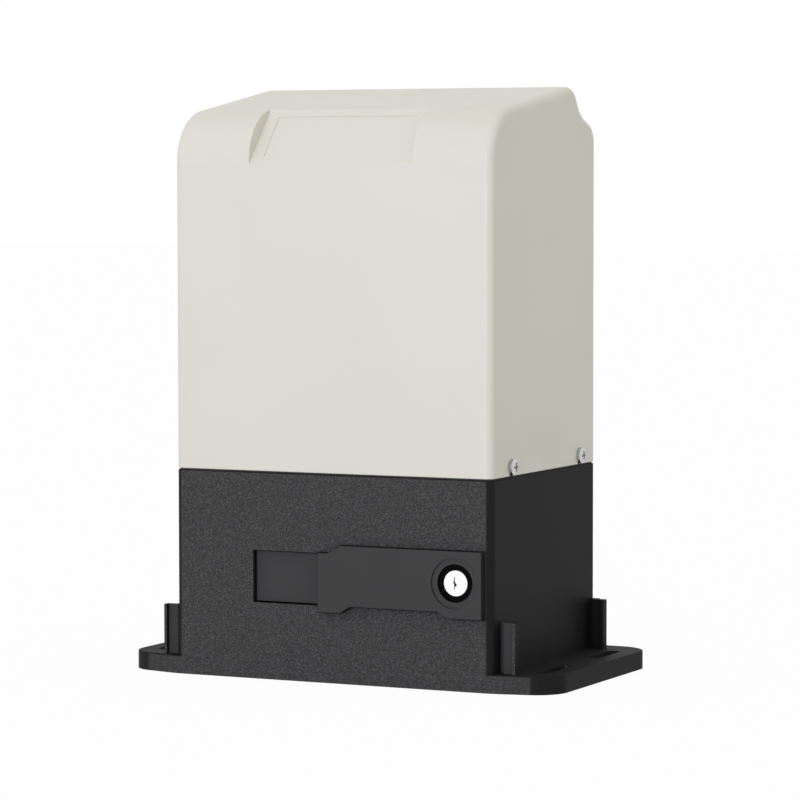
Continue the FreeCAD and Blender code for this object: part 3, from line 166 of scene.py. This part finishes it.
def powder_coated_casting():
    """Cast aluminium with black polyester powder: pebbled on its front and the foot's top, else smooth.
    Faces that look to the front are painted lighter as lit, all others darker as shade.
    """
    material, tree, shader, place = start_finish("black_powder_coated_aluminium", "#232324", 0.0, 0.55,
                                                 Specular_IOR_Level=0.05)
    facing = add_node(tree, "ShaderNodeSeparateXYZ", links={
        "Vector": add_node(tree, "ShaderNodeTexCoord").outputs["Normal"]})
    spot = add_node(tree, "ShaderNodeSeparateXYZ", links={"Vector": place})
    masks = {}
    # what each mask reads, and where it starts and is full: a share of the normal, or a place in metres
    for name, socket, start, full in (("front", facing.outputs["Y"], -0.95, -0.99),
                                      ("up", facing.outputs["Z"], 0.8, 0.95),
                                      ("outermost", spot.outputs["Y"], -0.0685, -0.0695),
                                      ("foot", spot.outputs["Z"], 0.03, 0.028),
                                      ("front_half", spot.outputs["Y"], 0.01, 0.0)):
        masks[name] = add_node(tree, "ShaderNodeMapRange", {"From Min": start, "From Max": full},
                               {"Value": socket}).outputs["Result"]
    # of what faces front only the outermost is pebbled: the window's floor behind it is smooth
    for name, operation, one, other in (("pebbled_front", "MULTIPLY", "front", "outermost"),
                                        ("foot_top", "MULTIPLY", "up", "foot"),
                                        ("painted_lit_front", "MULTIPLY", "front", "front_half"),
                                        ("pebbled", "MAXIMUM", "pebbled_front", "foot_top")):
        masks[name] = add_node(tree, "ShaderNodeMath", {"operation": operation},
                               {0: masks[one], 1: masks[other]}).outputs["Value"]
    stones = add_node(tree, "ShaderNodeTexNoise",
                      {"Scale": scale_of(PEBBLE_MM), "Detail": 1.0, "Roughness": 0.5}, {"Vector": place})
    height = add_node(tree, "ShaderNodeMath", {"operation": "MULTIPLY"},
                      {0: stones.outputs["Fac"], 1: masks["pebbled"]})
    skin = add_node(tree, "ShaderNodeTexNoise", {"Scale": scale_of(SKIN_MM), "Detail": 2.0},
                    {"Vector": place})
    fine = add_node(tree, "ShaderNodeBump", {"Strength": 1.0, "Distance": SKIN_DEPTH_MM * MM},
                    {"Height": skin.outputs["Fac"]})
    relief = add_node(tree, "ShaderNodeBump", {"Strength": 1.0, "Distance": PEBBLE_DEPTH_MM * MM},
                      {"Height": height.outputs["Value"], "Normal": fine.outputs["Normal"]})
    tree.links.new(relief.outputs["Normal"], shader.inputs["Normal"])
    # painted highlight: the pebbles' tops are painted lighter than their hollows, standing in for the light
    # that the grain catches
    tops = add_node(tree, "ShaderNodeMapRange", {"From Min": 0.42, "From Max": 0.7},
                    {"Value": stones.outputs["Fac"]})
    coat = add_node(tree, "ShaderNodeMix", {"data_type": "RGBA"}, {"Factor": tops.outputs["Result"]})
    coat.inputs["A"].default_value = colour("#3a3a39")
    coat.inputs["B"].default_value = colour("#585756")
    # painted light and shade: front-facing faces in the front half take the lighter lit tone; sides, tops,
    # rounded corners and the rear tab's front, which lies in shade, take the darker shaded tone
    plain = add_node(tree, "ShaderNodeMix", {"data_type": "RGBA"}, {"Factor": masks["painted_lit_front"]})
    plain.inputs["A"].default_value = colour("#222222")
    plain.inputs["B"].default_value = colour("#41403f")
    whole = add_node(tree, "ShaderNodeMix", {"data_type": "RGBA"}, {
        "Factor": masks["pebbled_front"], "A": plain.outputs["Result"], "B": coat.outputs["Result"]})
    tree.links.new(whole.outputs["Result"], shader.inputs["Base Color"])
    return material


def satin_coated_casting():
    """Cast aluminium with a thin satin black coat: faintly cloudy on its face; its sides and edges are
    painted darker as shade.
    """
    material, tree, shader, place = start_finish("satin_black_coated_aluminium", "#3b3b3a", 0.0, 0.5,
                                                 Specular_IOR_Level=0.08)
    grain(tree, shader, place, 0.7, 0.01)
    facing = add_node(tree, "ShaderNodeSeparateXYZ", links={
        "Vector": add_node(tree, "ShaderNodeTexCoord").outputs["Normal"]})
    lit_face_mask = add_node(tree, "ShaderNodeMapRange", {"From Min": -0.8, "From Max": -0.98},
                    {"Value": facing.outputs["Y"]})
    patches = add_node(tree, "ShaderNodeTexNoise", {"Scale": scale_of(30), "Detail": 3.0}, {"Vector": place})
    face = add_node(tree, "ShaderNodeMix", {"data_type": "RGBA"}, {"Factor": patches.outputs["Fac"]})
    face.inputs["A"].default_value = colour("#3f3e3d")
    face.inputs["B"].default_value = colour("#434241")
    # painted shade: every face that does not look to the front takes the near-black tone
    coat = add_node(tree, "ShaderNodeMix", {"data_type": "RGBA"},
                    {"Factor": lit_face_mask.outputs["Result"], "B": face.outputs["Result"]})
    coat.inputs["A"].default_value = colour("#161616")
    tree.links.new(coat.outputs["Result"], shader.inputs["Base Color"])
    return material


def bare_casting():
    """Die-cast aluminium as it leaves the die: dull silver with soft flow patches and a sandy skin."""
    material, tree, shader, place = start_finish("bare_die_cast_aluminium", "#a9abad", 1.0, 0.5)
    mottle(tree, shader, place, "#a4a7a9", "#b0b2b4", 14)
    uneven_gloss(tree, shader, place, 0.45, 0.56, 6)
    grain(tree, shader, place, 0.9, 0.05, 3.0)
    return material


def turned_steel():
    """Steel turned and ground: bright, with fine rings along the bar."""
    material, tree, shader, place = start_finish("turned_ground_steel", "#b4b4b2", 1.0, 0.28)
    uneven_gloss(tree, shader, place, 0.22, 0.36, 5)
    # the real feed is 0.1 mm, drawn at 0.5 mm so that it shows
    tool_lines(tree, shader, place, "Y", 0.5, 0.004)
    return material


def zinc_plated_screws():
    """Steel with bright clear zinc plating: soft silver with a trace of blue."""
    material, tree, shader, place = start_finish("zinc_plated_steel", "#c3c5c7", 1.0, 0.3)
    mottle(tree, shader, place, "#b9bcc0", "#cbccca", 2.5)
    uneven_gloss(tree, shader, place, 0.24, 0.38, 1.5)
    return material


def hobbed_steel():
    """Carbon steel, hobbed and passivated: darker grey with cutter lines."""
    material, tree, shader, place = start_finish("hobbed_steel", "#8e8e8c", 1.0, 0.36)
    mottle(tree, shader, place, "#858584", "#989795", 6)
    tool_lines(tree, shader, place, "Y", 0.7, 0.006)
    return material


def cut_bronze():
    """Tin bronze, cast and cut: warm brown gold with a faint tarnish."""
    material, tree, shader, place = start_finish("cut_tin_bronze", "#b08d56", 1.0, 0.33)
    mottle(tree, shader, place, "#a37f4a", "#bb9a63", 5)
    tool_lines(tree, shader, place, "Y", 0.6, 0.005)
    return material


def drawn_spring_wire():
    """Hard-drawn spring wire: dark oiled steel with soft grey patches."""
    material, tree, shader, place = start_finish("drawn_spring_wire", "#8a8c90", 1.0, 0.3)
    mottle(tree, shader, place, "#7c7f84", "#96989b", 3)
    uneven_gloss(tree, shader, place, 0.24, 0.4, 1.5)
    return material


def ground_bearing_rings():
    """Bearing steel, ground: bright, with an even gloss and a barely seen grain."""
    material, tree, shader, place = start_finish("ground_bearing_steel", "#9fa2a5", 1.0, 0.22)
    uneven_gloss(tree, shader, place, 0.18, 0.28, 4)
    grain(tree, shader, place, 0.4, 0.002)
    return material


def stacked_laminations():
    """Electrical steel sheets, punched and stacked: a fine ridge at every sheet and a bluish grey skin."""
    material, tree, shader, place = start_finish("stacked_electrical_steel", "#6f7377", 1.0, 0.48)
    mottle(tree, shader, place, "#6c7074", "#74777a", 8)
    # sheets of 0.5 mm, drawn at 1 mm so that they show
    tool_lines(tree, shader, place, "Z", 1.0, 0.06)
    return material


def varnished_copper():
    """Enamelled copper wire, wound and dipped in varnish: glossy brown red with the wires' ridges."""
    material, tree, shader, place = start_finish("varnished_copper_wire", "#a8582c", 0.7, 0.3,
                                                 Coat_Weight=0.6, Coat_Roughness=0.15)
    mottle(tree, shader, place, "#8f4521", "#bb6a36", 4)
    tool_lines(tree, shader, place, "Z", 1.1, 0.25, "RINGS")
    return material


def moulded_nitrile():
    """Nitrile rubber, pressed: matt black with a dusty bloom."""
    material, tree, shader, place = start_finish("moulded_nitrile_rubber", "#26282a", 0.0, 0.75)
    mottle(tree, shader, place, "#222426", "#2c2e30", 8)
    grain(tree, shader, place, 0.5, 0.01)
    return material


def polished_chrome():
    """Chrome plate over polished zinc: near white, almost a mirror, with a gloss that varies a little."""
    material, tree, shader, place = start_finish("polished_chrome_plate", "#fcfcfd", 1.0, 0.12)
    uneven_gloss(tree, shader, place, 0.09, 0.16, 2)
    return material


def black_chromated_zinc():
    """Die-cast zinc in black chromate: satin black with a faint metal glint, its colour pushed to near black
    as painted shade, so the lock's barrel reads as the deep shade round the chrome disc.
    """
    # painted shade: the near-black tone stands in for the shade inside the lock's recess, on top of the
    # black chromate
    material, tree, shader, place = start_finish("black_chromated_zinc", "#060606", 0.0, 0.5,
                                                 Specular_IOR_Level=0.03)
    mottle(tree, shader, place, "#050505", "#080808", 4)
    return material


def moulded_nylon():
    """Glass-filled nylon, moulded: black with a slightly cloudy, sandy skin."""
    material, tree, shader, place = start_finish("moulded_glass_filled_nylon", "#2f3234", 0.0, 0.5)
    mottle(tree, shader, place, "#2b2e30", "#35383a", 10)
    grain(tree, shader, place, 0.6, 0.015)
    return material


def solder_masked_board():
    """Glass-epoxy board under green solder mask: glossy, with copper tracks showing as paler lines."""
    material, tree, shader, place = start_finish("solder_masked_glass_epoxy", "#1f5a3a", 0.0, 0.3,
                                                 Coat_Weight=0.4, Coat_Roughness=0.1)
    tracks = add_node(tree, "ShaderNodeTexBrick",
                      {"offset": 0.37, "squash": 1.0, "Scale": 1.0, "Mortar Size": 0.35 * MM,
                       "Mortar Smooth": 0.1, "Brick Width": 9 * MM, "Row Height": 2.6 * MM,
                       "Color1": colour("#1d5537"), "Color2": colour("#21603d"),
                       "Mortar": colour("#3b7d53")})
    upright = add_node(tree, "ShaderNodeCombineXYZ")
    spot = add_node(tree, "ShaderNodeSeparateXYZ", links={"Vector": place})
    tree.links.new(spot.outputs["Z"], upright.inputs["X"])
    tree.links.new(spot.outputs["X"], upright.inputs["Y"])
    tree.links.new(upright.outputs["Vector"], tracks.inputs["Vector"])
    tree.links.new(tracks.outputs["Color"], shader.inputs["Base Color"])
    relief = add_node(tree, "ShaderNodeBump", {"Strength": 1.0, "Distance": 0.03 * MM},
                      {"Height": tracks.outputs["Fac"]})
    tree.links.new(relief.outputs["Normal"], shader.inputs["Normal"])
    return material


def moulded_part(name, hex_code, roughness):
    """Small electrical mouldings: clean coloured plastic with a light even texture."""
    material, tree, shader, place = start_finish(name, hex_code, 0.0, roughness)
    uneven_gloss(tree, shader, place, roughness - 0.05, roughness + 0.06, 6)
    grain(tree, shader, place, 0.5, 0.006)
    return material


def fuse_tube_glass():
    """Drawn glass tube: clear, thin, with the fuse wire seen through it."""
    material, tree, shader, place = start_finish("drawn_glass_tube", "#eef3f3", 0.0, 0.03,
                                                 IOR=1.5, Transmission_Weight=0.85)
    grain(tree, shader, place, 3.0, 0.01)
    return material


FINISHES = {
    "ivory_cover": moulded_ivory_abs(),
    "cast_black": powder_coated_casting(),
    "lever_black": satin_coated_casting(),
    "bare_casting": bare_casting(),
    "steel": turned_steel(),
    "zinc_screw": zinc_plated_screws(),
    "gear_steel": hobbed_steel(),
    "bronze": cut_bronze(),
    "spring_steel": drawn_spring_wire(),
    "bearing_steel": ground_bearing_rings(),
    "laminations": stacked_laminations(),
    "copper_winding": varnished_copper(),
    "black_rubber": moulded_nitrile(),
    "chrome_lock": polished_chrome(),
    "lock_zinc": black_chromated_zinc(),
    "dark_plastic": moulded_nylon(),
    "board_green": solder_masked_board(),
    "terminal_green": moulded_part("green_polyamide_terminals", "#2e9b58", 0.42),
    "relay_blue": moulded_part("blue_sealed_relay_cases", "#2b5c9e", 0.35),
    "chip_black": moulded_part("black_epoxy_mouldings", "#1f1f21", 0.55),
    "trimmer_blue": moulded_part("blue_trimmer_mouldings", "#3f73b4", 0.35),
    "fuse_glass": fuse_tube_glass(),
    "capacitor_case": moulded_part("white_polypropylene_case", "#e4e2dc", 0.38),
}

# the lever's pin takes the lock's near-black finish, not its slot's steel, as painted shade: it stays dark
# behind the window instead of glinting
PAINTED_SHADE_NODES = {"lever_pin": "lock_zinc"}

for piece in frame["record"]["subparts"]:
    node = nodes[piece["node"]]
    node.data.materials.clear()
    node.data.materials.append(FINISHES[PAINTED_SHADE_NODES.get(piece["node"], piece["material_slot"])])


# ---------------------------------------------------------------- pieces the solids keep plain

TOWARDS_BACK = Matrix.Rotation(math.radians(-90), 4, "X")
TOWARDS_FRONT = Matrix.Rotation(math.radians(90), 4, "X")
WELD = 0.002 * MM                  # points nearer than this become one
SHARP_FROM = math.radians(35)      # edges that turn this much or more stay crisp


def finish_piece(name, bm, body, slot):
    """Makes the shaped mesh an object with its finish, and says which body it rides on."""
    bmesh.ops.remove_doubles(bm, verts=bm.verts, dist=WELD)
    bmesh.ops.recalc_face_normals(bm, faces=bm.faces)
    for edge in bm.edges:
        edge.smooth = edge.is_manifold and edge.calc_face_angle() < SHARP_FROM
    for face in bm.faces:
        face.smooth = True
    mesh = bpy.data.meshes.new(name)
    bm.to_mesh(mesh)
    bm.free()
    mesh.materials.append(FINISHES[slot])
    piece = bpy.data.objects.new(name, mesh)
    bpy.context.scene.collection.objects.link(piece)
    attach(piece, body)
    return piece


def turned(bm, place, radii, heights, segments, facing=TOWARDS_BACK, roll=0.0):
    """Stacks straight and tapered rings into one closed turned (or six-sided) shape, from its foot up."""
    pose = Matrix.Translation(place) @ facing @ Matrix.Rotation(math.radians(roll), 4, "Z")
    first = bmesh.ops.create_circle(bm, cap_ends=True, segments=segments, radius=radii[0] * MM,
                                    matrix=pose @ Matrix.Translation((0, 0, heights[0] * MM)))
    base = face = first["verts"][0].link_faces[0]
    for (low_r, high_r), (low, high) in zip(zip(radii, radii[1:]), zip(heights, heights[1:])):
        shell = bmesh.ops.extrude_face_region(bm, geom=[face])
        verts = [item for item in shell["geom"] if isinstance(item, bmesh.types.BMVert)]
        new_face = [item for item in shell["geom"] if isinstance(item, bmesh.types.BMFace)][0]
        lift = pose.to_3x3() @ Vector((0, 0, (high - low) * MM))
        bmesh.ops.translate(bm, verts=verts, vec=lift)
        centre = pose @ Vector((0, 0, high * MM))
        bmesh.ops.scale(bm, verts=verts, vec=(high_r / low_r,) * 3, space=Matrix.Translation(-centre))
        if face is not base:
            bmesh.ops.delete(bm, geom=[face], context="FACES_ONLY")
        face = new_face


def rounded_brick(bm, place, size, rounding):
    """A small moulded or ceramic body with softened edges, its size and their rounding in millimetres."""
    stretch = Matrix.Diagonal((*[length * MM for length in size], 1))
    made = bmesh.ops.create_cube(bm, size=1.0, matrix=Matrix.Translation(place) @ stretch)
    edges = list({edge for vert in made["verts"] for edge in vert.link_edges})
    bmesh.ops.bevel(bm, geom=edges, offset=rounding * MM, offset_type="OFFSET", segments=2, profile=0.5,
                    affect="EDGES", clamp_overlap=True, material=-1)


def wound_wire(bm, place, wire, coil_r, pitch, turns, steps, sides):
    """Winds a wire of the given radius about the Y axis through a point, from there towards the back."""
    start = Matrix.Translation(Vector(place) + Vector((coil_r, wire, 0)))
    ring = bmesh.ops.create_circle(bm, cap_ends=True, segments=sides, radius=wire, matrix=start)["verts"]
    cut = ring[0].link_faces[0]
    bmesh.ops.spin(bm, geom=[cut, *cut.edges, *cut.verts], cent=place, axis=(0, 1, 0), use_merge=False,
                   dvec=(0, pitch / steps, 0), angle=2 * math.pi * turns, steps=round(steps * turns))


def limit_whisker():
    """The limit switch's whisker: a close-wound coil over the hub's peg, then straight wire with a ball."""
    low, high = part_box("limit_spring")
    x, z = (low[0] + high[0]) / 2, (low[2] + high[2]) / 2
    wire, coil_len, pitch, ball_r = 0.5 * MM, 33 * MM, 1.06 * MM, 2.2 * MM
    turns = int(coil_len / pitch)
    bm = bmesh.new()
    wound_wire(bm, (x, low[1], z), wire, (high[0] - low[0]) / 2 - wire, pitch, turns, steps=16, sides=8)
    end = (low[1] + turns * pitch + wire) / MM
    tip = (high[1] - ball_r) / MM
    # the collar that holds the straight wire in the coil's end, and the wire up to its ball
    turned(bm, (x, 0, z), (2.3, 2.9, 2.9, 1.1, 1.0, 1.0),
           (end - 2.2, end - 1.8, end, end + 3.2, end + 3.6, tip), segments=20)
    bmesh.ops.create_uvsphere(bm, u_segments=20, v_segments=12, radius=ball_r,
                              matrix=Matrix.Translation((x, tip * MM, z)))
    # the coil's core, which closes the gaps between the turns
    turned(bm, (x, 0, z), (1.9, 1.9), (low[1] / MM + 0.2, end - 1.0), segments=16)
    piece = finish_piece("whisker_spring_wound", bm, "whisker", "spring_steel")
    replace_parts(piece, "limit_spring")


def clutch_coil_spring():
    """The clutch's compression spring: four and a half turns of round wire, spread over the length of the
    part it replaces.
    """
    low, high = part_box("clutch_spring")
    x, z = (low[0] + high[0]) / 2, (low[2] + high[2]) / 2
    wire, turns, stroke = 1.2 * MM, 4.5, 5.0 * MM
    bm = bmesh.new()
    pitch = (high[1] - low[1] - 2 * wire) / turns
    wound_wire(bm, (x, low[1], z), wire, (high[0] - low[0]) / 2 - wire, pitch, turns, steps=32, sides=12)
    piece = finish_piece("clutch_spring_wound", bm, "output", "spring_steel")
    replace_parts(piece, "clutch_spring")
    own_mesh(piece)


def pinion_hexagon_bolt():
    """Zinc-plated hexagon bolt: washer face, six flats with a chamfered top, and the shank."""
    low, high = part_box("pinion_bolt")
    x, z = (low[0] + high[0]) / 2, (low[2] + high[2]) / 2
    foot, seat, top = low[1] / MM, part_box("pinion_washer")[1][1] / MM, high[1] / MM
    bm = bmesh.new()
    turned(bm, (x, 0, z), (7.5, 7.5, 6.3), (seat + 0.4, top - 0.6, top), segments=6, roll=30)
    turned(bm, (x, 0, z), (6.2, 6.2), (seat, seat + 0.5), segments=40)
    turned(bm, (x, 0, z), (3.4, 4.0, 4.0), (foot, foot + 0.8, seat + 0.1), segments=24)
    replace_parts(finish_piece("pinion_bolt_hexagon", bm, "output", "zinc_screw"), "pinion_bolt")


BOARD_CORNER = Vector(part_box("control_board")[0])
# in millimetres, with places counted to the right of and up from the board's lower left corner
CANS = ((50.0, 54.0, 4.0, 12.5), (6.0, 70.0, 4.0, 12.5), (15.5, 71.5, 2.6, 7.5))      # x, z, radius, height
CAN_SIDES = 28
RESISTOR_ROWS = ((44.0, range(7, 54, 4)), (92.5, range(9, 36, 4)), (111.0, range(8, 33, 4)),
                 (86.5, range(44, 53, 4)))
CHIP, CHIP_ROUNDING = (1.2, 0.6, 1.25), 0.08
CHIP_END, CHIP_END_ROUNDING, CHIP_END_X = (0.5, 0.62, 1.27), 0.1, 0.8
CRYSTAL, CRYSTAL_ROUNDING, CRYSTAL_X, CRYSTAL_Z = (10.5, 3.2, 4.2), 1.4, 28.0, 85.0
PIN, PIN_ROUNDING = (0.64, 7.5, 0.64), 0.12
PIN_FOOT, PIN_FOOT_ROUNDING = (2.5, 2.4, 2.5), 0.3
PIN_COUNT, PIN_X0, PIN_PITCH, PIN_Z = 6, 9.0, 2.54, 103.5


def on_board(x, z, out=0.0):
    """A point on the board's face, or that far out in front of it, from millimetres on the board."""
    return BOARD_CORNER + Vector((x, -out, z)) * MM


def board_details():
    """Small parts soldered on the control board's face: can capacitors, chip resistors, a crystal, pins."""
    cans, tops = bmesh.new(), bmesh.new()
    for x, z, r, tall in CANS:
        foot, neck = on_board(x, z), r - 0.35
        # the sleeve with the crimped neck above its foot, then the bare metal top
        turned(cans, foot, (r, r, neck, neck, r, r, r - 0.4), (0.2, 0.9, 1.2, 1.6, 2.0, tall - 0.4, tall),
               CAN_SIDES, TOWARDS_FRONT)
        turned(tops, foot, (r - 0.6, r - 0.6, r - 0.8), (tall - 0.2, tall + 0.05, tall + 0.15),
               CAN_SIDES, TOWARDS_FRONT)
    finish_piece("board_can_capacitors", cans, "base", "dark_plastic")
    finish_piece("board_can_tops", tops, "base", "zinc_screw")
    chips, ends = bmesh.new(), bmesh.new()
    for z, row in RESISTOR_ROWS:
        for x in row:
            rounded_brick(chips, on_board(x, z, out=0.35), CHIP, CHIP_ROUNDING)
            for end_x in (x - CHIP_END_X, x + CHIP_END_X):
                rounded_brick(ends, on_board(end_x, z, out=0.32), CHIP_END, CHIP_END_ROUNDING)
    finish_piece("board_chip_resistors", chips, "base", "chip_black")
    finish_piece("board_resistor_ends", ends, "base", "zinc_screw")
    metal, header = bmesh.new(), bmesh.new()
    rounded_brick(metal, on_board(CRYSTAL_X, CRYSTAL_Z, out=1.7), CRYSTAL, CRYSTAL_ROUNDING)
    for step in range(PIN_COUNT):
        x = PIN_X0 + PIN_PITCH * step
        rounded_brick(metal, on_board(x, PIN_Z, out=4.0), PIN, PIN_ROUNDING)
        rounded_brick(header, on_board(x, PIN_Z, out=1.3), PIN_FOOT, PIN_FOOT_ROUNDING)
    finish_piece("board_crystal_and_pins", metal, "base", "zinc_screw")
    finish_piece("board_pin_header", header, "base", "chip_black")


limit_whisker()
clutch_coil_spring()
pinion_hexagon_bolt()
board_details()

# ---------------------------------------------------------------- stage

FLOOR_SIZE, FLOOR_DROP = 12.0, 0.0002
FLOOR_GLOW = 0.975        # how much of the seen floor is plain white; the rest takes the shadow
SKY_LIGHT = 0.77          # the sky as light on the object, against 1 where it is seen
LAMP_PLACE, LAMP_AIM = (-0.1, -2.45, 0.3), (0, 0, 0.17)
LAMP_SIZE, LAMP_WATTS, LAMP_TINT = (0.9, 0.9), 25.5, (0.84, 0.83, 1.0)
CAMERA_PLACE = (0.9905, -2.0182, 0.3015)
CAMERA_TURN, CAMERA_TILT, CAMERA_ROLL = 25.95, 90 - 3.49, -0.07      # degrees
LENS, SENSOR = 166.1, 36.0                                           # millimetres


def seen_directly(tree):
    """1 for what the eye, a mirror or glass sees, 0 for light that falls on the object."""
    rays = add_node(tree, "ShaderNodeLightPath")
    seen = rays.outputs["Is Camera Ray"]
    for other in ("Is Glossy Ray", "Is Transmission Ray"):
        seen = add_node(tree, "ShaderNodeMath", {"operation": "MAXIMUM"},
                        {0: seen, 1: rays.outputs[other]}).outputs["Value"]
    return seen


def pale_floor():
    """A wide white floor that reads white to the eye and keeps a faint shadow."""
    mesh = bpy.data.meshes.new("floor")
    bm = bmesh.new()
    bmesh.ops.create_grid(bm, x_segments=1, y_segments=1, size=FLOOR_SIZE)
    bm.to_mesh(mesh)
    bm.free()
    floor = bpy.data.objects.new("floor", mesh)
    bpy.context.scene.collection.objects.link(floor)
    material = bpy.data.materials.new("floor_paper")
    material.use_nodes = True
    tree = material.node_tree
    tree.nodes.clear()
    paper = add_node(tree, "ShaderNodeBsdfDiffuse", {"Color": colour("#cfcfcf")})
    glow = add_node(tree, "ShaderNodeEmission", {"Color": (1, 1, 1, 1), "Strength": 1.0})
    share = add_node(tree, "ShaderNodeMath", {"operation": "MULTIPLY", 1: FLOOR_GLOW},
                     {0: seen_directly(tree)})
    blend = add_node(tree, "ShaderNodeMixShader", links={
        0: share.outputs["Value"], 1: paper.outputs["BSDF"], 2: glow.outputs["Emission"]})
    add_node(tree, "ShaderNodeOutputMaterial", links={"Surface": blend.outputs["Shader"]})
    mesh.materials.append(material)
    floor.location.z = -FLOOR_DROP


def white_surroundings():
    """An even pale sky: white where it is seen or mirrored, softer as light on the object."""
    world = bpy.data.worlds.new("studio")
    bpy.context.scene.world = world
    world.use_nodes = True
    tree = world.node_tree
    tree.nodes.clear()
    power = add_node(tree, "ShaderNodeMapRange", {"To Min": SKY_LIGHT, "To Max": 1.0},
                     {"Value": seen_directly(tree)})
    sky = add_node(tree, "ShaderNodeBackground", {"Color": (1, 1, 1, 1)},
                   {"Strength": power.outputs["Result"]})
    add_node(tree, "ShaderNodeOutputWorld", links={"Surface": sky.outputs["Background"]})


def front_softbox():
    """A large soft lamp before the object, faintly cool, that lifts the front over the sides."""
    light = bpy.data.lights.new("front_softbox", "AREA")
    light.shape = "RECTANGLE"
    light.size, light.size_y = LAMP_SIZE
    light.energy = LAMP_WATTS
    light.color = LAMP_TINT
    lamp = bpy.data.objects.new("front_softbox", light)
    bpy.context.scene.collection.objects.link(lamp)
    lamp.location = LAMP_PLACE
    lamp.rotation_euler = (Vector(LAMP_AIM) - Vector(LAMP_PLACE)).to_track_quat("-Z", "Y").to_euler()
    lamp.visible_camera = False


def place_camera():
    """A long lens a little above the cover's middle, turned to the front and the right side."""
    data = bpy.data.cameras.new("camera")
    data.lens = LENS
    data.sensor_width = SENSOR
    camera = bpy.data.objects.new("camera", data)
    bpy.context.scene.collection.objects.link(camera)
    turn = Matrix.Rotation(math.radians(CAMERA_TURN), 4, "Z")
    tilt = Matrix.Rotation(math.radians(CAMERA_TILT), 4, "X")
    roll = Matrix.Rotation(math.radians(CAMERA_ROLL), 4, "Z")
    camera.matrix_world = Matrix.Translation(CAMERA_PLACE) @ turn @ tilt @ roll
    bpy.context.scene.camera = camera


pale_floor()
white_surroundings()
front_softbox()
place_camera()
bpy.context.scene.view_settings.view_transform = "Standard"
